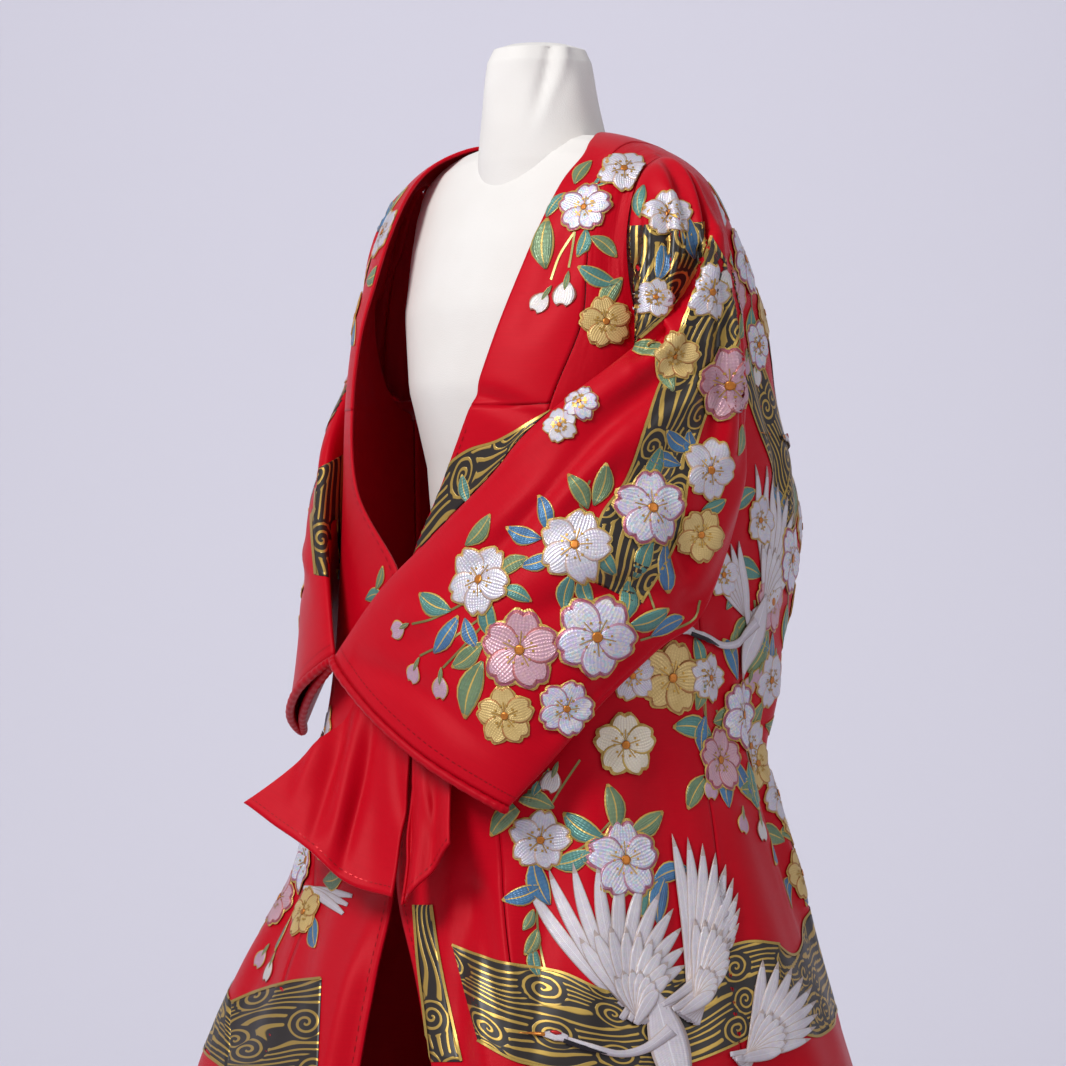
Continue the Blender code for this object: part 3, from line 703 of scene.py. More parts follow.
for hand, name, wide, long, flat in (
    (1, "sleeve_left", 140, 170, (0.56, 0.52)),
    (-1, "sleeve_right", 90, 110, (0.44, 0.42)),
):
    surface = sleeve_surface(hand)
    across = np.linspace(0, 1, int(wide * DETAIL) + 1)
    along = even_places(surface, [-1.0, -0.5, 0.0, 3.5, SLEEVE_END], int(long * DETAIL), across=0.25)
    piece = cloth_piece(name + "_silk", surface, across, along, silk, tube=True)
    press_creases(piece, SLEEVE_CREASES)
    pieces[name] = piece
    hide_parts(name)
    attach(piece, "root")


# Collar ends: the loose lower ends of the collar and front edges, turned outward under the cuffs.
# They are plain silk, double, and hang in soft upright folds.
RIGHT_END = (
    (-17.5, -20.5, 0.732, 0.094),
    (-10.0, -14.0, 0.713, 0.090),
    (-3.0, -5.0, 0.690, 0.066),
    (4.0, 4.0, 0.658, 0.052),
    (11.0, 15.0, 0.648, 0.034),
)
LEFT_END = (
    (12.5, 19.0, 0.642, 0.046),
    (18.5, 24.0, 0.664, 0.044),
    (25.5, 31.0, 0.704, 0.040),
)
END_TOP_Z = 0.838


def end_surface(rows, phase):
    def surface(u, v):
        top, low, low_z, low_off = table_at(rows, u * (len(rows) - 1))
        bearing = np.radians(top + (low - top) * v)
        z = END_TOP_Z + (low_z - END_TOP_Z) * v
        fold = 0.006 * np.sin(v * SIDE) * np.cos(u * 11 + phase)
        off = WALL + SEAM + (low_off - WALL - SEAM) * v ** 1.7 + fold * smooth(v, 0.3, 0.7)
        return round_axis(bearing, body_radius(bearing, z) + off, z)

    return surface


END_CREASES = (
    (50, 8, -0.007, (352, 690), (338, 745), (322, 800), (312, 838)),
    (50, 9, 0.006, (338, 700), (318, 750), (296, 800)),
    (50, 8, -0.007, (376, 705), (364, 770), (350, 830), (340, 870)),
    (50, 9, 0.006, (366, 700), (350, 770), (334, 840)),
    (50, 7, -0.005, (395, 725), (398, 790), (410, 850)),
    (50, 7, 0.004, (418, 740), (425, 790), (432, 830)),
)
for name, rows, phase, flat in (
    ("collar_end_right", RIGHT_END, 0.4, (0.16, 0.17)),
    ("collar_end_left", LEFT_END, 2.0, (0.07, 0.17)),
):
    across = np.linspace(0, 1, 61)
    along = np.linspace(0, 1, 45)
    piece = cloth_piece(name + "_silk", end_surface(rows, phase), across, along, silk)
    press_creases(piece, END_CREASES)
    pieces[name] = piece
    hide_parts(name)
    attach(piece, "root")


# Cuff rolls: the padded silk roll on each sleeve opening.
# It is silk over wadding, sewn along the sleeve's edge.
CUFF_ROLL = 0.0045


def roll_surface(sleeve):
    def surface(u, v):
        step = 1 / 400
        centre = sleeve(v, np.full_like(v, SLEEVE_END))
        before = sleeve(v, np.full_like(v, SLEEVE_END - 0.05))
        along = sleeve(v + step, np.full_like(v, SLEEVE_END)) - sleeve(v - step, np.full_like(v, SLEEVE_END))
        along = along / np.linalg.norm(along, axis=-1, keepdims=True)
        ahead = centre - before
        ahead = ahead - along * (ahead * along).sum(-1, keepdims=True)
        ahead = ahead / np.linalg.norm(ahead, axis=-1, keepdims=True)
        sideways = np.cross(along, ahead)
        turn = 2 * math.pi * u[..., None]
        ripple = 1 + 0.05 * np.sin(v[..., None] * 260)
        offset = CUFF_ROLL * ripple * (ahead * np.cos(turn) + sideways * np.sin(turn))
        return centre + ahead * (CUFF_ROLL + SEAM) + offset

    return surface


roll_silk = silk_material("cuff_silk", (0.47, 0.0008, 0.010))
for hand, name in ((1, "cuff_roll_left"), (-1, "cuff_roll_right")):
    across = np.linspace(0, 1, 15)
    along = np.linspace(0, 1, 301)
    piece = cloth_piece(name + "_silk", roll_surface(sleeve_surface(hand)), across, along, roll_silk, tube=True)
    piece.modifiers.clear()
    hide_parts(name)
    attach(piece, "root")


# Embroidery ground: where a stitch lands on the cloth, seen from outside.
# Every stitched piece is laid on the finished silk and backs onto it.
STITCH = 0.0007         # height of the padded stitching
STITCH_REACH = 0.05
STITCH_FALL = 0.026     # a stitch further than this off its motif's plane is left out
SEAM_NUDGES = (0.0, 1.5, -1.5, 3.0, -3.0)       # tries beside a seam's gap
SEAM_STEP = 0.015       # a try beside counts where it lies about this much nearer
SEAM_FACING = 0.25      # a hit on the side wall of a seam counts as this step further
ROUND_REACH = 300.0

bpy.context.view_layer.update()
depsgraph = bpy.context.evaluated_depsgraph_get()
ground_verts, ground_faces, ground_starts, ground_names = [], [], [], []
for name, piece in pieces.items():
    shown = piece.evaluated_get(depsgraph).to_mesh()
    first = len(ground_verts)
    ground_starts.append(len(ground_faces))
    ground_names.append(name)
    ground_verts.extend(vert.co.copy() for vert in shown.vertices)
    ground_faces.extend(tuple(first + i for i in face.vertices) for face in shown.polygons)
ground = BVHTree.FromPolygons(ground_verts, ground_faces)


def piece_of(index):
    return ground_names[int(np.searchsorted(ground_starts, index, side="right")) - 1]


def cloth_of(index):
    """The body lengths, overlap panels and collar are sewn together, so a motif may cross their seams."""
    name = piece_of(index)
    return name if name.startswith(("sleeve", "cuff", "collar_end")) else "body"


def view_ray(turn, x, y):
    angle = math.radians(turn)
    back = Vector((math.sin(angle), -math.cos(angle), 0.0))
    right = Vector((math.cos(angle), math.sin(angle), 0.0))
    start = right * LENS_ASIDE + Vector((0, 0, LENS_HEIGHT)) + back * LENS_DISTANCE
    across = (x - PIXEL_MIDDLE) / PIXEL_FOCUS
    up = (PIXEL_MIDDLE - y) / PIXEL_FOCUS
    return start, (right * across + Vector((0, 0, up)) - back).normalized(), right


def seen_from(turn, keep=None):
    """Lays photo pixels on the cloth as the lens sees them."""

    def cast(x, y):
        best, nearest = None, 1e9
        for aside in SEAM_NUDGES:
            start, heading, _ = view_ray(turn, x + aside, y)
            spot, normal, index, far = ground.ray_cast(start, heading)
            if spot is None or (keep and piece_of(index) not in keep):
                continue
            far += SEAM_STEP if abs(normal.dot(heading)) < SEAM_FACING else 0.0
            if far < nearest - 0.8 * SEAM_STEP:
                best, nearest = (spot, -normal if normal.dot(heading) > 0 else normal), far
        return best

    return cast


def seen_round(arc, height):
    """Lays millimetres on the cloth: round the figure at ROUND_REACH from its axis, and above the floor."""
    best, nearest = None, 1e9
    for aside in SEAM_NUDGES:
        angle = (arc + aside) / ROUND_REACH
        out = Vector((math.sin(angle), -math.cos(angle), 0.0))
        spot, normal, index, far = ground.ray_cast(out * 1.5 + Vector((0, 0, height / 1000)), -out)
        if spot is None or cloth_of(index) != "body":
            continue
        far += SEAM_STEP if abs(normal.dot(out)) < SEAM_FACING else 0.0
        if far < nearest - 0.8 * SEAM_STEP:
            best, nearest = (spot, -normal if normal.dot(out) < 0 else normal), far
    return best


def sewn_at(turn, x, y):
    """Lays metres round one spot on the cloth, straight down onto it."""
    start, heading, right = view_ray(turn, x, y)
    spot, normal, index, _ = ground.ray_cast(start, heading)
    if spot is None:
        return None
    owner = cloth_of(index)
    mean = Vector()
    for dx, dy in ((0, 0), (12, 0), (-12, 0), (0, 12), (0, -12)):
        start, heading, _ = view_ray(turn, x + dx, y + dy)
        _, near, found, _ = ground.ray_cast(start, heading)
        if near is not None and cloth_of(found) == owner:
            mean += near if near.dot(heading) < 0 else -near
    mean.normalize()
    up = Vector((0, 0, 1)) - mean * mean.z
    up.normalize()
    side = up.cross(mean)

    def cast(px, py):
        for aside in SEAM_NUDGES:
            origin = spot + side * (px + aside / 1000) + up * py + mean * STITCH_REACH
            hit, near, found, _ = ground.ray_cast(origin, -mean, 2 * STITCH_REACH)
            if hit is None or cloth_of(found) != owner or abs(near.dot(mean)) < 0.20:
                continue
            if abs((hit - spot).dot(mean)) < STITCH_FALL:
                return hit, (near if near.dot(mean) > 0 else -near)
        return None

    return cast


def lay(mesh, wide, long, shape, cast, height, longest=0.012):
    """One stitched shape: a grid bent to the shape and laid on the cloth."""
    made = bmesh.ops.create_grid(mesh, x_segments=wide, y_segments=long, size=1.0)["verts"]
    layer = mesh.loops.layers.uv.active
    for face in {face for vert in made for face in vert.link_faces}:
        for corner in face.loops:
            corner[layer].uv = ((corner.vert.co.x + 1) / 2, (corner.vert.co.y + 1) / 2)
    lost = []
    facing = None
    for vert in made:
        hit = cast(*shape(vert.co.x, (vert.co.y + 1) / 2))
        if hit is None:
            lost.append(vert)
            continue
        vert.co = hit[0] + hit[1] * height
        facing = hit[1] if facing is None else facing
    if len(lost) > 0.55 * len(made) and longest < 0.02:
        bmesh.ops.delete(mesh, geom=made, context="VERTS")
        return []
    if lost:
        gone = set(lost)
        kept = [vert for vert in made if vert not in gone]
        bmesh.ops.delete(mesh, geom=lost, context="VERTS")
        made = kept
    faces = list({face for vert in made for face in vert.link_faces})
    long_edges = {edge for face in faces for edge in face.edges if edge.calc_length() > longest}
    if long_edges:
        bad = list({face for edge in long_edges for face in edge.link_faces})
        gone = set(bad)
        faces = [face for face in faces if face not in gone]
        bmesh.ops.delete(mesh, geom=bad, context="FACES")
    if faces and facing is not None:
        total = Vector()
        for face in faces:
            face.normal_update()
            total += face.normal
        if total.dot(facing) < 0:
            bmesh.ops.reverse_faces(mesh, faces=faces)
    return faces


def new_stitching():
    mesh = bmesh.new()
    mesh.loops.layers.uv.new("stitch")
    return mesh


stitching = {}


def stitches(look):
    if look not in stitching:
        stitching[look] = new_stitching()
    return stitching[look]


def petal_shape(radius, turn, grow=1.0, cleft=0.22):
    c, s = math.cos(turn), math.sin(turn)

    def shape(u, v):
        notch = cleft * v ** 5 * max(0.0, 1 - abs(u) / 0.55)
        far = radius * (0.06 + 0.94 * v - notch - 0.16 * v * u * u)
        half = radius * 0.445 * math.sin(math.pi * min(v * 0.72 + 0.09, 1.0)) ** 0.9
        x, y = far * grow, half * u * (2 * grow - 1)
        return x * c - y * s, x * s + y * c

    return shape


def leaf_shape(length, turn, bow=0.10, slim=0.24):
    c, s = math.cos(turn), math.sin(turn)

    def shape(u, v):
        x = length * (v - 0.5)
        y = length * (slim * u * math.sin(math.pi * min(max(v, 0.02), 0.98)) ** 0.8 + bow * math.sin(math.pi * v))
        return x * c - y * s, x * s + y * c

    return shape


def line_shape(points, half):
    """A narrow strip along a smooth line through some points."""
    cells = np.asarray(points, dtype=float)
    path = table_at(cells, np.linspace(0, len(cells) - 1, 200)) if len(cells) > 2 else None

    def shape(u, v):
        if path is None:
            x, y = cells[0] + (cells[1] - cells[0]) * v
            dx, dy = cells[1] - cells[0]
        else:
            at = v * 198.0
            low = int(at)
            t = at - low
            x = path[0][low] * (1 - t) + path[0][low + 1] * t
            y = path[1][low] * (1 - t) + path[1][low + 1] * t
            dx = path[0][low + 1] - path[0][low]
            dy = path[1][low + 1] - path[1][low]
        size = math.hypot(dx, dy) or 1.0
        return x - dy / size * half * u, y + dx / size * half * u

    return shape


def tapered(line, halves):
    """A strip along a line, with its own half width at even places."""

    def shape(u, v):
        return line(u * float(np.interp(v, np.linspace(0, 1, len(halves)), halves)), v)

    return shape


ANTHER = 0.0011     # metres, half the size of a stamen's tip


def flower(turn, x, y, radius, look, spin):
    cast = sewn_at(turn, x, y)
    if cast is None:
        return
    edging = "halo" if look in ("iridescent", "pink") else "gold_edge"
    base = STITCH * (2.3 + 0.9 * (int(x + y) % 3))
    for number in range(5):
        angle = math.radians(spin + 72 * number)
        lift = base + STITCH * 0.12 * number
        grow = 1.09 if edging == "halo" else 1.05
        lay(stitches(edging), 6, 6, petal_shape(radius * 0.96, angle, grow, 0.12), cast, lift - STITCH * 0.9)
        lay(stitches(look), 8, 8, petal_shape(radius * 0.96, angle, 1.0, 0.18), cast, lift)
        reach = radius * 0.44
        lay(stitches("stamens"), 1, 3, line_shape([(0, 0), (math.cos(angle) * reach, math.sin(angle) * reach)],
            0.0005), cast, base + STITCH)
        for aside in (-0.30, 0.30):
            tip = radius * 0.33
            spot = (math.cos(angle + aside) * tip, math.sin(angle + aside) * tip)
            lay(stitches("stamens"), 1, 1, lambda u, v, spot=spot: (
                spot[0] + ANTHER * u, spot[1] + 2 * ANTHER * (v - 0.5)), cast, base + STITCH * 1.2)
    lay(stitches("eye"), 4, 4, lambda u, v: (radius * 0.12 * u * math.sqrt(1 - (2 * v - 1) ** 2 * 0.5),
        radius * 0.12 * (2 * v - 1) * math.sqrt(1 - u * u * 0.5)), cast, base + STITCH * 1.7)


def leaf(turn, x, y, length, angle, look):
    cast = sewn_at(turn, x, y)
    if cast is not None:
        bow = 0.08 if (int(x) + int(y)) % 2 else -0.08
        lay(stitches(look), 4, 7, leaf_shape(length, math.radians(angle), bow), cast, STITCH * 1.5)


def bud(turn, x, y, size, angle, look):
    cast = sewn_at(turn, x, y)
    if cast is not None:
        heading = math.radians(angle)
        lay(stitches(look), 5, 6, petal_shape(size, heading), cast, STITCH * 1.9)
        lay(stitches("leaf_green"), 3, 4, leaf_shape(size * 0.7, heading, 0.0, 0.16), cast, STITCH * 2.2)


def stem(turn, points, half=1.1):
    lay(stitches("stem"), 1, 8 * (len(points) - 1), line_shape(points, half), seen_from(turn), STITCH * 0.9)


def band_shape(upper, lower):
    """Between two smooth edges, each given by a few points."""
    steps = 120
    top = table_at(np.asarray(upper, float), np.linspace(0, len(upper) - 1, steps + 1))
    low = table_at(np.asarray(lower, float), np.linspace(0, len(lower) - 1, steps + 1))

    def shape(u, v):
        at = min(int(round(v * steps)), steps)
        share = (u + 1) / 2
        x = top[0][at] + (low[0][at] - top[0][at]) * share
        y = top[1][at] + (low[1][at] - top[1][at]) * share
        return x, y

    return shape


def band(turn, upper, lower, keep, wide=20, long=40):
    water_strip(upper, lower, seen_from(turn, keep), wide, long)


def water_strip(upper, lower, cast, wide, long):
    mesh = stitches("water")
    faces = lay(mesh, wide, long, band_shape(upper, lower), cast, STITCH * 1.2, 0.022)
    middle = [(Vector(a) + Vector(b)) / 2 for a, b in zip(upper, lower)]
    length = sum((b - a).length for a, b in zip(middle, middle[1:])) * MILLIMETRE
    width = sum((Vector(a) - Vector(b)).length for a, b in zip(upper, lower)) / len(upper) * MILLIMETRE
    layer = mesh.loops.layers.uv.active
    shift = 0.37 * len(stitches("rim").faces) / 100
    for face in faces:
        for corner in face.loops:
            corner[layer].uv = (corner[layer].uv.x * width + shift, corner[layer].uv.y * length)
    for edge in (upper, lower):
        if len(edge) > 2:
            lay(stitches("rim"), 1, long, line_shape(edge, 1.3), cast, STITCH * 1.7, 0.022)


def blade_shape(x0, y0, angle, length, half, curl):
    """A feather from its root, bending by curl along its length."""
    start = math.radians(angle)
    bend = math.radians(curl)

    def shape(u, v):
        turn = start + bend * v / 2
        x = x0 + length * v * math.cos(turn)
        y = y0 - length * v * math.sin(turn)
        tip = max(0.0, 1 - (max(v - 0.62, 0.0) / 0.38) ** 2.2)
        side = half * u * (0.40 + 0.60 * math.sin(SIDE * min(v / 0.6, 1.0))) * tip
        heading = start + bend * v
        return x - side * math.sin(heading), y - side * math.cos(heading)

    return shape


def wing(turn, x, y, first, last, count, long_first, long_last, half, curl, keep, spread=0.0, height=1.2):
    cast = seen_from(turn, keep)
    for number in range(count):
        share = number / max(count - 1, 1)
        angle = first + (last - first) * share
        arc = math.sin(math.pi * (0.25 + 0.5 * share))
        length = (long_first + (long_last - long_first) * share) * (0.82 + 0.25 * arc)
        px = x + spread * math.cos(math.radians((first + last) / 2 + 90)) * (share - 0.5) * 2
        py = y - spread * math.sin(math.radians((first + last) / 2 + 90)) * (share - 0.5) * 2
        lay(stitches("feather"), 4, 20, blade_shape(px, py, angle, length, half, curl), cast,
            STITCH * (height + 0.16 * number), 0.022)


STITCH_SHARE = 0.55     # of each step is thread, and the rest is the gap


def running_stitch(surface, start, end, count, half=0.0004):
    """Small stitches along a straight line of a piece's own surface."""
    for number in range(count):
        ends = [np.array([start[k] + (end[k] - start[k]) * (number + part) / count for k in (0, 1)])
                for part in (0, STITCH_SHARE)]
        spots = [Vector(surface(np.array(at[0]), np.array(at[1])).tolist()) for at in ends]
        found = [ground.find_nearest(spot + Vector((spot.x, spot.y, 0.0)).normalized() * 0.003) for spot in spots]
        if any(hit[0] is None for hit in found):
            continue
        outward = Vector((spots[0].x, spots[0].y, 0.0)).normalized()
        normal = found[0][1] if found[0][1].dot(outward) > 0 else -found[0][1]
        along = (found[1][0] - found[0][0])
        across = along.cross(normal).normalized()
        if along.length < 1e-5:
            continue
        lay(stitches("seam"), 1, 2, lambda u, v: (u, v), lambda u, v: (
            found[0][0] + along * v + across * (half * u), normal), 0.0003 + 0.0003 * (number % 2))


running_stitch(sleeve_surface(1), (0.0, SLEEVE_END - 0.16), (1.0, SLEEVE_END - 0.16), 110)
running_stitch(sleeve_surface(-1), (0.0, SLEEVE_END - 0.16), (1.0, SLEEVE_END - 0.16), 90)
running_stitch(okumi_surface(1), (0.06, COLLAR_ROW + 0.3), (0.06, HEM_ROW - 0.5), 150)
running_stitch(okumi_surface(-1), (0.06, COLLAR_ROW + 0.3), (0.06, HEM_ROW - 0.5), 150)
running_stitch(end_surface(RIGHT_END, 0.4), (0.0, 0.95), (1.0, 0.95), 34)
running_stitch(end_surface(LEFT_END, 2.0), (0.0, 0.95), (1.0, 0.95), 16)

# Photo side: cherry flowers, leaves, buds, stems, water bands and cranes, sewn on the silk.
# The spots are pixels of the photo's frame, and a radius or length is in pixels too, about a millimetre.
MILLIMETRE = 0.00102
PHOTO_TURN = 50.0
BODY = ("body_left", "okumi_left")
NEAR_SLEEVE = ("sleeve_left",)
# Each row: turn, x, y, radius, look, spin.
FLOWERS = (
    (50, 585, 208, 28, "iridescent", 90), (50, 624, 170, 27, "silver", 60), (50, 606, 322, 27, "gold", 100),
    (50, 711, 292, 29, "silver", 80), (50, 730, 385, 36, "pink", 95), (50, 710, 470, 32, "silver", 70),
    (50, 652, 508, 38, "iridescent", 90), (50, 575, 545, 37, "silver", 75), (50, 480, 580, 37, "silver", 60),
    (50, 520, 650, 40, "pink", 85), (50, 597, 637, 41, "iridescent", 60), (50, 505, 716, 30, "gold", 95),
    (50, 566, 708, 28, "iridescent", 70), (50, 625, 745, 33, "cream", 90), (50, 672, 678, 38, "gold", 75),
    (50, 540, 840, 31, "silver", 80), (50, 625, 860, 40, "iridescent", 90), (50, 700, 535, 28, "gold", 60),
    (50, 722, 575, 24, "silver", 85), (50, 632, 676, 26, "silver", 100), (50, 757, 345, 26, "iridescent", 70),
    (50, 674, 356, 25, "gold", 90), (50, 655, 298, 21, "silver", 70), (50, 668, 215, 26, "silver", 90),
    (50, 580, 402, 18, "iridescent", 80), (50, 560, 425, 18, "silver", 40),
)
# Each row: turn, x, y, length, angle, look.
LEAVES = (
    (50, 546, 243, 46, 95, "leaf_green"), (50, 556, 205, 26, 60, "leaf_teal"), (50, 583, 172, 28, 70, "leaf_green"),
    (50, 607, 180, 28, 25, "leaf_teal"), (50, 582, 243, 26, 260, "leaf_teal"), (50, 604, 247, 28, 320, "leaf_green"),
    (50, 598, 275, 34, 150, "leaf_teal"), (50, 612, 295, 34, 60, "leaf_green"), (50, 640, 200, 30, 280, "leaf_teal"),
    (50, 690, 235, 40, 100, "leaf_blue"), (50, 660, 262, 34, 80, "leaf_blue"), (50, 648, 352, 36, 160, "leaf_green"),
    (50, 662, 372, 36, 110, "leaf_green"), (50, 578, 492, 32, 120, "leaf_green"), (50, 600, 484, 36, 75, "leaf_green"),
    (50, 524, 533, 34, 165, "leaf_blue"), (50, 543, 513, 32, 110, "leaf_blue"), (50, 537, 560, 30, 200, "leaf_blue"),
    (50, 608, 560, 30, 300, "leaf_teal"), (50, 568, 592, 32, 260, "leaf_teal"), (50, 626, 600, 36, 80, "leaf_teal"),
    (50, 586, 590, 30, 290, "leaf_teal"), (50, 677, 440, 32, 150, "leaf_blue"), (50, 693, 446, 28, 105, "leaf_blue"),
    (50, 652, 464, 34, 60, "leaf_teal"), (50, 668, 566, 44, 275, "leaf_blue"), (50, 646, 560, 36, 250, "leaf_teal"),
    (50, 664, 462, 30, 170, "leaf_blue"), (50, 650, 618, 40, 20, "leaf_teal"), (50, 668, 627, 36, 25, "leaf_blue"),
    (50, 478, 530, 34, 50, "leaf_green"), (50, 512, 567, 32, 30, "leaf_green"), (50, 516, 595, 28, 340, "leaf_teal"),
    (50, 490, 618, 36, 280, "leaf_teal"), (50, 444, 634, 38, 55, "leaf_blue"), (50, 471, 633, 28, 300, "leaf_blue"),
    (50, 466, 655, 36, 215, "leaf_green"), (50, 474, 690, 50, 250, "leaf_green"), (50, 435, 602, 40, 160, "leaf_teal"),
    (50, 466, 489, 26, 110, "leaf_teal"), (50, 380, 578, 22, 70, "leaf_green"), (50, 374, 597, 26, 10, "leaf_teal"),
    (50, 506, 820, 38, 225, "leaf_green"), (50, 534, 802, 34, 165, "leaf_green"), (50, 541, 782, 26, 60, "leaf_teal"),
    (50, 583, 826, 42, 150, "leaf_teal"), (50, 612, 808, 40, 95, "leaf_green"), (50, 645, 823, 40, 25, "leaf_green"),
    (50, 572, 858, 38, 20, "leaf_teal"), (50, 541, 882, 40, 110, "leaf_blue"), (50, 522, 893, 34, 200, "leaf_blue"),
    (50, 661, 900, 42, 70, "leaf_blue"), (50, 670, 875, 36, 15, "leaf_blue"), (50, 644, 900, 30, 250, "leaf_teal"),
    (50, 531, 942, 26, 240, "leaf_green"), (50, 536, 962, 26, 280, "leaf_teal"), (50, 528, 920, 20, 60, "leaf_green"),
    (50, 700, 690, 34, 75, "leaf_green"), (50, 724, 714, 36, 20, "leaf_green"), (50, 752, 720, 42, 50, "leaf_green"),
    (50, 703, 735, 32, 260, "leaf_blue"), (50, 728, 783, 44, 70, "leaf_blue"), (50, 743, 778, 40, 120, "leaf_blue"),
    (50, 713, 772, 30, 100, "leaf_teal"), (50, 698, 655, 30, 280, "leaf_teal"), (50, 768, 612, 44, 50, "leaf_blue"),
    (50, 762, 640, 34, 330, "leaf_blue"), (50, 772, 650, 30, 280, "leaf_blue"), (50, 745, 500, 34, 30, "leaf_teal"),
    (50, 735, 640, 26, 60, "leaf_green"), (50, 742, 322, 34, 60, "leaf_green"), (50, 752, 372, 30, 290, "leaf_teal"),
    (50, 740, 440, 30, 60, "leaf_green"), (50, 713, 505, 26, 20, "leaf_teal"), (50, 733, 600, 24, 40, "leaf_teal"),
)
BUDS = (
    (50, 547, 293, 24, 240, "pale_bud"), (50, 567, 281, 28, 265, "pale_bud"), (50, 405, 626, 22, 200, "pink_bud"),
    (50, 417, 664, 22, 240, "pink_bud"), (50, 441, 676, 24, 265, "pink_bud"), (50, 555, 770, 24, 250, "pale_bud"),
    (50, 750, 676, 22, 260, "pink_bud"), (50, 768, 675, 22, 285, "pale_bud"), (50, 710, 777, 24, 260, "pink_bud"),
    (50, 725, 290, 22, 70, "pale_bud"), (50, 760, 668, 18, 250, "pink_bud"),
)
STEMS = (
    (50, (575, 232), (560, 255), (551, 280)), (50, (575, 232), (572, 252), (569, 268)),
    (50, (470, 600), (435, 618), (412, 624)), (50, (485, 615), (450, 640), (420, 656)),
    (50, (490, 618), (460, 650), (443, 668)), (50, (600, 520), (580, 505), (590, 480)),
    (50, (704, 690), (707, 740), (711, 770)), (50, (716, 710), (735, 755), (741, 775)),
    (50, (640, 640), (690, 622), (700, 600)), (50, (540, 870), (537, 920), (545, 968), (560, 1010)),
    (50, (580, 760), (560, 790), (545, 815)), (50, (560, 860), (590, 842), (612, 820)),
    (50, (754, 600), (757, 640), (753, 668)), (50, (757, 630), (766, 655), (768, 668)),
    (50, (745, 330), (735, 352), (732, 370)), (50, (650, 545), (646, 580), (655, 612)),
)
for turn, x, y, length, angle, look in LEAVES:
    leaf(turn, x, y, length * 1.15 * MILLIMETRE, angle, look)
for turn, x, y, radius, look, spin in FLOWERS:
    flower(turn, x, y, radius * MILLIMETRE, look, spin)
for turn, x, y, size, angle, look in BUDS:
    bud(turn, x, y, size * MILLIMETRE, angle, look)
for turn, *points in STEMS:
    stem(turn, points)

band(50, ((712, 236), (692, 300), (666, 368), (646, 425), (626, 480), (600, 520), (590, 580)),
     ((748, 300), (738, 335), (722, 372), (700, 430), (688, 480), (676, 540), (640, 605)), NEAR_SLEEVE, 34, 80)
band(50, ((628, 226), (622, 262), (618, 300), (614, 345), (606, 366)),
     ((704, 222), (704, 250), (690, 280), (668, 312), (640, 338)), NEAR_SLEEVE, 60, 60)
band(50, ((372, 560), (400, 520), (432, 480), (466, 452), (500, 440), (545, 414), (585, 392), (612, 372)),
     ((372, 602), (400, 577), (432, 546), (466, 512), (492, 480), (524, 444), (562, 414), (614, 380)), BODY, 16, 50)
band(50, ((452, 945), (500, 962), (560, 972), (610, 992), (650, 985), (700, 958), (745, 942), (780, 944)),
     ((478, 1040), (520, 1062), (580, 1070), (640, 1070), (690, 1062), (735, 1044), (760, 1030), (782, 1024)),
     BODY, 34, 110)
# Each row is a wing: turn, root x and y, first and last angle, feathers, first and last length, half width, curl.
WINGS = (
    (50, 630, 1018, 142, 52, 11, 180, 84, 7.2, -24, BODY, 10, 1.2),
    (50, 636, 1020, 136, 56, 9, 104, 62, 7.4, -16, BODY, 8, 3.4),
    (50, 640, 1024, 130, 62, 7, 58, 42, 7.4, -10, BODY, 6, 5.2),
    (50, 674, 1014, 86, 30, 11, 190, 86, 6.4, 18, BODY, 16, 3.6),
    (50, 682, 1018, 84, 28, 9, 108, 62, 6.8, 12, BODY, 14, 5.6),
    (50, 686, 1020, 82, 30, 6, 60, 42, 7.0, 8, BODY, 10, 7.2),
    (50, 736, 1064, 74, 4, 9, 116, 82, 6.2, 14, BODY, 12, 3.0),
    (50, 738, 1066, 70, 8, 7, 66, 50, 6.6, 8, BODY, 8, 4.8),
    (95, 618, 622, 86, 20, 9, 168, 104, 7.4, 16, BODY, 12, 1.8),
    (95, 620, 624, 86, 24, 7, 86, 62, 7.6, 10, BODY, 9, 3.4),
    (95, 612, 628, 160, 112, 6, 74, 96, 6.0, -16, BODY, 8, 2.6),
    (180, 470, 420, 152, 96, 8, 124, 84, 6.0, -14, ("body_left", "body_right"), 8, 1.2),
    (180, 476, 424, 70, 16, 8, 114, 84, 6.0, 16, ("body_left", "body_right"), 8, 2.8),
    (230, 470, 960, 152, 92, 9, 178, 100, 8.0, -16, ("body_right",), 12, 1.2),
    (230, 478, 962, 80, 22, 9, 156, 100, 7.4, 18, ("body_right",), 12, 3.0),
    (320, 420, 940, 142, 92, 8, 146, 90, 7.4, -16, ("body_right", "okumi_right"), 10, 1.2),
    (50, 348, 905, 168, 138, 3, 52, 44, 5.0, 12, ("body_right", "okumi_right"), 10, 1.2),
)
for row in WINGS:
    wing(*row)
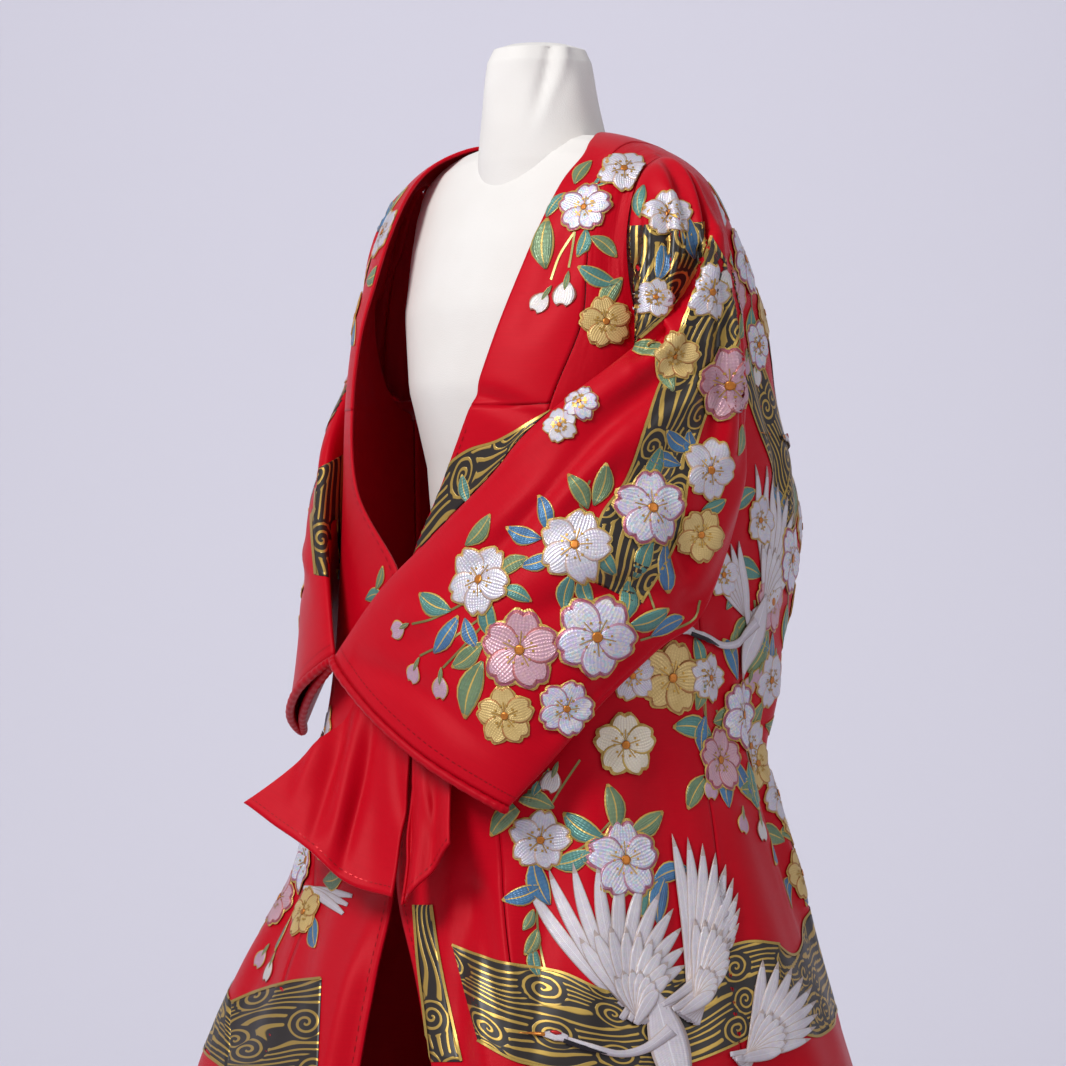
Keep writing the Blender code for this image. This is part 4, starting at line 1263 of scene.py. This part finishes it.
for turn, x, y, long, angle, keep in (
    (50, 668, 1046, 120, 285, BODY), (95, 612, 640, 92, 250, BODY),
    (180, 474, 446, 90, 275, ("body_left", "body_right")), (230, 476, 985, 120, 265, ("body_right",)),
):
    c, d = math.cos(math.radians(angle)), math.sin(math.radians(angle))
    cast = seen_from(turn, keep)
    shape = leaf_shape(long, math.radians(-angle), 0.0, 0.16)
    lay(stitches("feather"), 6, 16, lambda u, v: (x + shape(u, v)[0], y + shape(u, v)[1]), cast, STITCH * 5.0)
    neck = ((x + 2, y - 16), (x - 22, y + 2), (x - 50, y + 8), (x - 80, y), (x - 108, y - 8))
    lay(stitches("feather"), 2, 26, tapered(line_shape(neck, 1.0), (7.5, 5.0, 3.6, 3.2, 3.4)), cast, STITCH * 5.4)
    head = ((x - 100, y - 7), (x - 112, y - 10), (x - 124, y - 11))
    lay(stitches("feather"), 4, 8, tapered(line_shape(head, 1.0), (2.8, 5.6, 2.2)), cast, STITCH * 5.9)
    lay(stitches("crown"), 2, 4, tapered(line_shape(((x - 106, y - 12), (x - 117, y - 14)), 1.0), (0.8, 2.4, 0.8)),
        cast, STITCH * 6.6)
    lay(stitches("throat"), 2, 10, tapered(line_shape(((x - 104, y - 5), (x - 84, y + 2), (x - 62, y + 8)), 1.0),
        (2.0, 2.4, 0.4)), cast, STITCH * 6.3)
    lay(stitches("eye"), 1, 6, tapered(line_shape(((x - 122, y - 11), (x - 150, y - 13)), 1.0), (2.0, 1.2, 0.3)),
        cast, STITCH * 6.2)

band(50, ((316, 470), (312, 520), (316, 575)), ((342, 455), (340, 520), (344, 580)), ("sleeve_right",), 8, 24)
band(95, ((636, 330), (668, 372), (700, 420), (720, 480)), ((600, 372), (622, 418), (650, 462), (690, 520)), BODY,
     16, 40)



def round_place(turn, x, y):
    spot = seen_from(turn)(x, y)[0]
    return math.atan2(spot.x, -spot.y) % (2 * math.pi) * ROUND_REACH, spot.z * 1000


# The bottom band goes on from the photo's right edge, round the back, to its left edge.
ROUND_UPPER = ((590, 585), (690, 622), (800, 612), (905, 570), (1010, 590), (1130, 630), (1260, 600), (1390, 560))
ROUND_LOWER = ((590, 505), (690, 520), (800, 530), (905, 492), (1010, 498), (1130, 528), (1260, 516), (1390, 478))
water_strip(
    (round_place(50, 777, 944), *ROUND_UPPER, (1500, 560), round_place(50, 232, 1002)),
    (round_place(50, 779, 1025), *ROUND_LOWER, (1500, 480), round_place(50, 228, 1072)),
    seen_round, 18, 230)

# More flowing water: the far front panel, the edge in the front gap, and round the back.
band(50, ((232, 1002), (258, 991), (290, 982), (322, 978)), ((228, 1072), (258, 1072), (290, 1072), (318, 1072)),
     ("body_right", "okumi_right"), 16, 24)
band(50, ((414, 905), (418, 960), (424, 1010), (430, 1062)), ((432, 905), (440, 960), (450, 1010), (462, 1062)),
     ("okumi_left", "body_left"), 6, 30)
band(110, ((628, 330), (655, 400), (640, 470), (600, 520)), ((668, 330), (700, 410), (690, 490), (640, 548)),
     ("body_left",), 14, 36)
band(180, ((420, 250), (470, 300), (540, 290), (610, 320), (650, 380)),
     ((410, 300), (470, 350), (540, 345), (600, 370), (630, 430)), ("body_left", "body_right"), 12, 50)
band(320, ((395, 300), (410, 380), (400, 450), (420, 520)), ((425, 300), (445, 380), (440, 450), (470, 520)),
     ("sleeve_right",), 12, 40)

# Sides that the photo doesn't show: the same kinds of spray, placed anew.
# Each spray is the same few motifs, and some are turned over, left to right.
SPRAY_FLOWERS = ((0, 0, 36, "iridescent"), (62, -34, 30, "silver"), (-48, 44, 33, "pink"), (46, 52, 28, "gold"),
                 (-60, -40, 26, "silver"))
SPRAY_LEAVES = ((32, -66, 44, 60, "leaf_green"), (-22, -58, 40, 120, "leaf_blue"), (-86, 12, 42, 170, "leaf_teal"),
                (92, 10, 40, 15, "leaf_green"), (84, 70, 38, 320, "leaf_blue"), (4, 74, 42, 280, "leaf_teal"),
                (-88, 74, 36, 230, "leaf_green"))
SPRAY_BUDS = ((8, 108, 24, 265, "pale_bud"), (-30, 100, 22, 250, "pink_bud"))
SPRAYS = (
    (110, 530, 720, 1), (118, 640, 840, -1), (125, 520, 250, 1), (145, 480, 560, 1),
    (145, 560, 840, -1), (180, 600, 520, 1), (180, 400, 780, -1), (180, 620, 760, 1), (215, 450, 320, 1),
    (215, 560, 620, -1), (250, 470, 420, 1), (250, 560, 800, 1), (250, 420, 700, -1), (285, 480, 860, 1),
    (320, 400, 620, 1), (320, 500, 780, -1), (285, 520, 500, -1), (345, 430, 880, 1), (320, 430, 250, 1),
)
for turn, x, y, side in SPRAYS:
    for dx, dy, length, angle, look in SPRAY_LEAVES:
        leaf(turn, x + side * dx, y + dy, length * 1.15 * MILLIMETRE, angle if side > 0 else 180 - angle, look)
    for dx, dy, radius, look in SPRAY_FLOWERS:
        flower(turn, x + side * dx, y + dy, radius * MILLIMETRE, look, 60 + dx)
    for dx, dy, size, angle, look in SPRAY_BUDS:
        bud(turn, x + side * dx, y + dy, size * MILLIMETRE, angle if side > 0 else 180 - angle, look)
    stem(turn, ((x, y + 20), (x + side * 4, y + 70), (x + side * 8, y + 100)))


# Stitched looks: silk and metal thread, each a gold or dark outline round a satin stitch filling.
# The looks share one node group, and each look's stitches are joined in one mesh on the silk.
def new_group(name, inputs, outputs):
    group = bpy.data.node_groups.new(name, "ShaderNodeTree")
    for label, kind, value in inputs:
        made = group.interface.new_socket(label, in_out="INPUT", socket_type=kind)
        if value is not None:
            made.default_value = value
    for label, kind in outputs:
        group.interface.new_socket(label, in_out="OUTPUT", socket_type=kind)
    return group, group.nodes.new("NodeGroupInput"), group.nodes.new("NodeGroupOutput")


def ramp(tree, factor, stops, constant=False):
    made = node(tree, "ShaderNodeValToRGB")
    band_colours = made.color_ramp
    band_colours.interpolation = "CONSTANT" if constant else "LINEAR"
    while len(band_colours.elements) < len(stops):
        band_colours.elements.new(0.5)
    for element, (place, colour) in zip(band_colours.elements, stops):
        element.position = place
        element.color = (*colour, 1.0)
    link(tree, factor, made.inputs[0])
    return made.outputs["Color"]


GOLD = (0.62, 0.42, 0.10)
stitch_group, inlet, outlet = new_group(
    "satin stitch",
    (("Fill", "NodeSocketColor", (0.6, 0.6, 0.6, 1.0)), ("Second", "NodeSocketColor", (0.4, 0.4, 0.4, 1.0)),
     ("Outline", "NodeSocketColor", (*GOLD, 1.0)), ("Foil", "NodeSocketFloat", 0.0),
     ("Midrib", "NodeSocketFloat", 0.0),
     ("Barbs", "NodeSocketFloat", 0.0)),
    (("Colour", "NodeSocketColor"), ("Edge", "NodeSocketFloat"), ("Sparkle", "NodeSocketFloat"),
     ("Normal", "NodeSocketVector")),
)
tree = stitch_group
uv = node(tree, "ShaderNodeUVMap", uv_map="stitch").outputs["UV"]
split = node(tree, "ShaderNodeSeparateXYZ")
link(tree, uv, split.inputs[0])
aside = math_node(tree, "ABSOLUTE", math_node(tree, "SUBTRACT", split.outputs[0], 0.5))
side_edge = math_node(tree, "GREATER_THAN", aside, 0.43)
tip_edge = math_node(tree, "GREATER_THAN", split.outputs[1], 0.93)
edge = math_node(tree, "MAXIMUM", side_edge, tip_edge)
midrib = math_node(tree, "MULTIPLY", math_node(tree, "LESS_THAN", aside, 0.035), inlet.outputs["Midrib"])
edge = math_node(tree, "MAXIMUM", edge, midrib)
lit_half = math_node(tree, "GREATER_THAN", split.outputs[0], 0.5)
lit_half = math_node(tree, "MULTIPLY", math_node(tree, "MULTIPLY", lit_half, inlet.outputs["Midrib"]), 0.6)
fan = math_node(tree, "SINE", math_node(tree, "MULTIPLY", split.outputs[0], 62.0))
rows = math_node(tree, "SINE", math_node(tree, "MULTIPLY", split.outputs[1], 70.0))
place = node(tree, "ShaderNodeTexCoord").outputs["Object"]
cells = node(tree, "ShaderNodeTexVoronoi", "foil flecks", sockets={"Scale": 420.0, "Vector": place})
hues = node(tree, "ShaderNodeSeparateXYZ")
link(tree, cells.outputs["Color"], hues.inputs[0])
film = ramp(tree, hues.outputs[0], (
    (0.0, (0.55, 0.62, 0.80)), (0.2, (0.72, 0.55, 0.80)), (0.4, (0.50, 0.75, 0.72)),
    (0.6, (0.80, 0.66, 0.74)), (0.8, (0.78, 0.76, 0.58)), (1.0, (0.86, 0.86, 0.92))))
soft = node(tree, "ShaderNodeTexNoise", "shading of the thread", sockets={"Scale": 55.0, "Vector": place})
shade = mix_colour(tree, soft.outputs["Fac"], inlet.outputs["Second"], inlet.outputs["Fill"])
shade = mix_colour(tree, lit_half, shade, inlet.outputs["Second"])
shade = mix_colour(tree, inlet.outputs["Foil"], shade, film)
vein = math_node(tree, "GREATER_THAN", fan, 0.72)
vein = math_node(tree, "MULTIPLY", vein, 0.30)
shade = mix_colour(tree, vein, shade, inlet.outputs["Second"])
chevron = math_node(tree, "SINE", math_node(tree, "ADD", math_node(tree, "MULTIPLY", split.outputs[1], 330.0),
                                            math_node(tree, "MULTIPLY", aside, -34.0)))
barb = math_node(tree, "MULTIPLY", math_node(tree, "GREATER_THAN", chevron, 0.35), inlet.outputs["Barbs"])
root_shade = math_node(tree, "MULTIPLY", math_node(tree, "SUBTRACT", 1.0, split.outputs[1]), inlet.outputs["Barbs"])
shade = mix_colour(tree, math_node(tree, "MULTIPLY", root_shade, 0.6), shade, inlet.outputs["Second"])
shade = mix_colour(tree, math_node(tree, "MULTIPLY", barb, 0.34), shade, inlet.outputs["Second"])
shaft = math_node(tree, "MULTIPLY", math_node(tree, "LESS_THAN", aside, 0.022), inlet.outputs["Barbs"])
shade = mix_colour(tree, math_node(tree, "MULTIPLY", shaft, 0.6), shade, (0.86, 0.85, 0.88))
shade = mix_colour(tree, edge, shade, inlet.outputs["Outline"])
link(tree, shade, outlet.inputs["Colour"])
link(tree, edge, outlet.inputs["Edge"])
link(tree, hues.outputs[1], outlet.inputs["Sparkle"])
relief = math_node(tree, "ADD", math_node(tree, "MULTIPLY", fan, 0.5), math_node(tree, "MULTIPLY", rows, 0.25))
relief = math_node(tree, "ADD", relief, math_node(tree, "MULTIPLY", hues.outputs[2], 0.8))
relief = math_node(tree, "ADD", relief, barb)
bump = node(tree, "ShaderNodeBump", sockets={"Strength": 0.5, "Distance": 0.0005, "Height": relief})
link(tree, bump.outputs["Normal"], outlet.inputs["Normal"])


def stitch_material(name, fill, second, outline, foil=0.0, midrib=0.0, metallic=0.3, roughness=0.38, barbs=0.0):
    made, tree, shader = new_material(name, fill, roughness, metallic)
    work = node(tree, "ShaderNodeGroup")
    work.node_tree = stitch_group
    work.inputs["Fill"].default_value = (*fill, 1.0)
    work.inputs["Second"].default_value = (*second, 1.0)
    work.inputs["Outline"].default_value = (*outline, 1.0)
    work.inputs["Foil"].default_value = foil
    work.inputs["Midrib"].default_value = midrib
    work.inputs["Barbs"].default_value = barbs
    link(tree, work.outputs["Colour"], shader.inputs["Base Color"])
    link(tree, work.outputs["Normal"], shader.inputs["Normal"])
    shine = math_node(tree, "MULTIPLY_ADD", work.outputs["Sparkle"], -0.22)
    shine.node.inputs[2].default_value = roughness + 0.12
    link(tree, shine, shader.inputs["Roughness"])
    return made


LOOKS = {
    "silver": stitch_material("silver_stitch", (0.70, 0.67, 0.70), (0.46, 0.42, 0.50), (0.62, 0.46, 0.40), 0.30),
    "iridescent": stitch_material("foil_stitch", (0.60, 0.58, 0.72), (0.40, 0.36, 0.52), (0.50, 0.26, 0.34), 0.85),
    "pink": stitch_material("pink_stitch", (0.68, 0.36, 0.40), (0.46, 0.22, 0.27), (0.50, 0.16, 0.16), 0.15),
    "gold": stitch_material("pale_gold_stitch", (0.78, 0.58, 0.24), (0.50, 0.33, 0.10), (0.45, 0.20, 0.06)),
    "halo": stitch_material("halo_stitch", (0.34, 0.06, 0.11), (0.46, 0.13, 0.18), GOLD),
    "gold_edge": stitch_material("gold_edge_stitch", (0.60, 0.38, 0.12), (0.44, 0.22, 0.07), GOLD),
    "cream": stitch_material("cream_stitch", (0.85, 0.78, 0.62), (0.62, 0.52, 0.34), GOLD, 0.1),
    "leaf_green": stitch_material("green_stitch", (0.05, 0.14, 0.06), (0.17, 0.26, 0.11), GOLD, 0.06, 1.0),
    "leaf_teal": stitch_material("teal_stitch", (0.01, 0.12, 0.11), (0.06, 0.25, 0.19), GOLD, 0.08, 1.0),
    "leaf_blue": stitch_material("blue_stitch", (0.01, 0.06, 0.19), (0.02, 0.18, 0.36), GOLD, 0.08, 1.0),
    "pale_bud": stitch_material("bud_stitch", (0.80, 0.76, 0.72), (0.55, 0.50, 0.45), (0.45, 0.16, 0.10), 0.2),
    "pink_bud": stitch_material("pink_bud_stitch", (0.62, 0.36, 0.44), (0.40, 0.18, 0.28), GOLD, 0.2),
    "feather": stitch_material("feather_stitch", (0.82, 0.79, 0.79), (0.56, 0.50, 0.54), (0.52, 0.42, 0.38), 0.26,
                               metallic=0.12, barbs=1.0),
}
for name, colour in (("stem", (0.34, 0.30, 0.10)), ("rim", GOLD), ("stamens", (0.70, 0.40, 0.08)),
                     ("eye", (0.75, 0.26, 0.04)), ("crown", (0.55, 0.02, 0.02)), ("throat", (0.03, 0.025, 0.03)),
                     ("seam", (0.36, 0.004, 0.008))):
    LOOKS[name], tree, shader = new_material(name + "_thread", colour, 0.36, 0.65)
    place = node(tree, "ShaderNodeTexCoord").outputs["Object"]
    twist = node(tree, "ShaderNodeTexNoise", "twist of the thread", sockets={"Scale": 700.0, "Vector": place})
    shade = mix_colour(tree, twist.outputs["Fac"], tuple(part * 0.55 for part in colour), colour)
    link(tree, shade, shader.inputs["Base Color"])

LOOKS["water"], tree, shader = new_material("flowing_water", GOLD, 0.4, 0.5)
uv = node(tree, "ShaderNodeUVMap", "metres across and along the band", uv_map="stitch").outputs["UV"]
split = node(tree, "ShaderNodeSeparateXYZ")
link(tree, uv, split.inputs[0])
drift = node(tree, "ShaderNodeTexNoise", "drift of the current", sockets={"Scale": 1.0, "Detail": 0.6})
stretch = node(tree, "ShaderNodeMapping", "longer along the band", sockets={
    "Scale": (26.0, 11.0, 1.0), "Vector": uv})
link(tree, stretch.outputs["Vector"], drift.inputs["Vector"])
grown = node(tree, "ShaderNodeMapping", "one unit for each eddy", sockets={
    "Scale": (24.0, 19.0, 1.0), "Vector": uv})
eddies = node(tree, "ShaderNodeTexVoronoi", "eddies", sockets={
    "Scale": 1.0, "Randomness": 0.85, "Vector": grown.outputs["Vector"]}, voronoi_dimensions="2D")
arm = node(tree, "ShaderNodeVectorMath", operation="SUBTRACT")
link(tree, grown.outputs["Vector"], arm.inputs[0])
link(tree, eddies.outputs["Position"], arm.inputs[1])
arm_parts = node(tree, "ShaderNodeSeparateXYZ")
link(tree, arm.outputs["Vector"], arm_parts.inputs[0])
whirl = math_node(tree, "ARCTAN2", arm_parts.outputs[1], arm_parts.outputs[0])
near = node(tree, "ShaderNodeMapRange", "inside an eddy", sockets={
    "From Min": 0.46, "From Max": 0.30, "Value": eddies.outputs["Distance"]}, interpolation_type="SMOOTHSTEP")
spiral = math_node(tree, "SUBTRACT", math_node(tree, "MULTIPLY", eddies.outputs["Distance"], 40.0), whirl)
flow = math_node(tree, "ADD", math_node(tree, "MULTIPLY", split.outputs[0], 820.0),
                 math_node(tree, "MULTIPLY", drift.outputs["Fac"], 34.0))
run = math_node(tree, "SINE", flow)
curl = math_node(tree, "SINE", spiral)
lines = node(tree, "ShaderNodeMix", data_type="FLOAT")
link(tree, near.outputs["Result"], lines.inputs[0])
link(tree, run, lines.inputs[2])
link(tree, curl, lines.inputs[3])
lines = lines.outputs[0]
gold_line = node(tree, "ShaderNodeMapRange", "gold lines", sockets={
    "From Min": 0.30, "From Max": 0.70, "Value": lines}, interpolation_type="SMOOTHSTEP")
shade = mix_colour(tree, gold_line.outputs["Result"], (0.016, 0.011, 0.008), (0.56, 0.37, 0.09))
link(tree, shade, shader.inputs["Base Color"])
link(tree, math_node(tree, "MULTIPLY", gold_line.outputs["Result"], 0.75), shader.inputs["Metallic"])
bump = node(tree, "ShaderNodeBump", sockets={
    "Strength": 0.5, "Distance": 0.0006, "Height": gold_line.outputs["Result"]})
link(tree, bump.outputs["Normal"], shader.inputs["Normal"])

for look, mesh in stitching.items():
    data = bpy.data.meshes.new("embroidery_" + look)
    mesh.to_mesh(data)
    mesh.free()
    for face in data.polygons:
        face.use_smooth = True
    data.materials.append(LOOKS[look])
    sewn = bpy.data.objects.new("embroidery_" + look, data)
    bpy.context.scene.collection.objects.link(sewn)
    if look not in ("stamens", "rim", "stem", "seam"):
        backing = sewn.modifiers.new("backing", "SOLIDIFY")
        backing.thickness = STITCH
        backing.offset = -1.0
    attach(sewn, "root")


# Studio: a pale seamless paper floor and wall, soft light and the camera at the photo's angle.
# The paper shows from its front only, so the back of the robe can be seen past it.
PHOTO_FRAME = 1066
SENSOR = 36.0
azimuth = math.radians(PHOTO_TURN)
toward_camera = Vector((math.sin(azimuth), -math.cos(azimuth), 0.0))
image_right = Vector((math.cos(azimuth), math.sin(azimuth), 0.0))

camera_data = bpy.data.cameras.new("camera")
camera_data.sensor_width = SENSOR
camera_data.angle = 2 * math.atan(PHOTO_FRAME / 2 / PIXEL_FOCUS)
camera = bpy.data.objects.new("camera", camera_data)
bpy.context.scene.collection.objects.link(camera)
camera.location = image_right * LENS_ASIDE + Vector((0, 0, LENS_HEIGHT)) + toward_camera * LENS_DISTANCE
camera.rotation_euler = (SIDE, 0.0, azimuth)
bpy.context.scene.camera = camera

SWEEP_HALF = 9.0
SWEEP_START = 2.2       # metres behind the garment where the paper begins to rise
SWEEP_RADIUS = 2.5
paper, tree, shader = new_material("paper", (0.66, 0.65, 0.72), 0.95)
shader.inputs["Specular IOR Level"].default_value = 0.0
clear = node(tree, "ShaderNodeBsdfTransparent")
side_of = node(tree, "ShaderNodeNewGeometry", "only its front shows")
either = node(tree, "ShaderNodeMixShader")
link(tree, side_of.outputs["Backfacing"], either.inputs[0])
link(tree, shader.outputs[0], either.inputs[1])
link(tree, clear.outputs[0], either.inputs[2])
link(tree, either.outputs[0], tree.nodes["Material Output"].inputs["Surface"])
mesh = bmesh.new()
bmesh.ops.create_grid(mesh, x_segments=2, y_segments=90, size=SWEEP_HALF)
for vert in mesh.verts:
    reach = vert.co.y
    turn = min(max((reach - SWEEP_START) / SWEEP_RADIUS, 0.0), SIDE)
    past = max(reach - SWEEP_START - SWEEP_RADIUS * SIDE, 0.0)
    back = min(reach, SWEEP_START) + SWEEP_RADIUS * math.sin(turn)
    rise = SWEEP_RADIUS * (1 - math.cos(turn)) + past
    place = image_right * vert.co.x - toward_camera * back
    vert.co = (place.x, place.y, rise)
data = bpy.data.meshes.new("sweep")
mesh.to_mesh(data)
mesh.free()
for face in data.polygons:
    face.use_smooth = True
if sum(face.normal.z for face in data.polygons) < 0:
    data.flip_normals()
sweep = bpy.data.objects.new("sweep", data)
bpy.context.scene.collection.objects.link(sweep)
sweep.data.materials.append(paper)

world = bpy.data.worlds.new("studio")
world.use_nodes = True
background = world.node_tree.nodes["Background"]
background.inputs["Color"].default_value = (0.70, 0.69, 0.76, 1.0)
background.inputs["Strength"].default_value = 0.58
bpy.context.scene.world = world
bpy.context.scene.view_settings.view_transform = "Standard"


def area_light(name, turn, height, distance, size, power, aim=(0.0, 0.0, 0.9)):
    angle = math.radians(turn)
    light = bpy.data.lights.new(name, "AREA")
    light.energy = power
    light.size = size
    made = bpy.data.objects.new(name, light)
    made.location = (distance * math.sin(angle), -distance * math.cos(angle), height)
    aim_at = Vector(aim) - made.location
    made.rotation_euler = aim_at.to_track_quat("-Z", "Y").to_euler()
    bpy.context.scene.collection.objects.link(made)
    return made


area_light("key", 5.0, 3.1, 2.8, 1.1, 96.0)
area_light("fill", 110.0, 2.4, 3.6, 2.2, 20.0)
wall = -toward_camera * 4.5 + Vector((0.0, 0.0, 1.3))
area_light("paper_left", 262.0, 3.2, 2.2, 2.0, 27.0, aim=wall - image_right * 0.8)
area_light("paper_right", 198.0, 3.2, 2.2, 2.0, 27.0, aim=wall + image_right * 0.8)
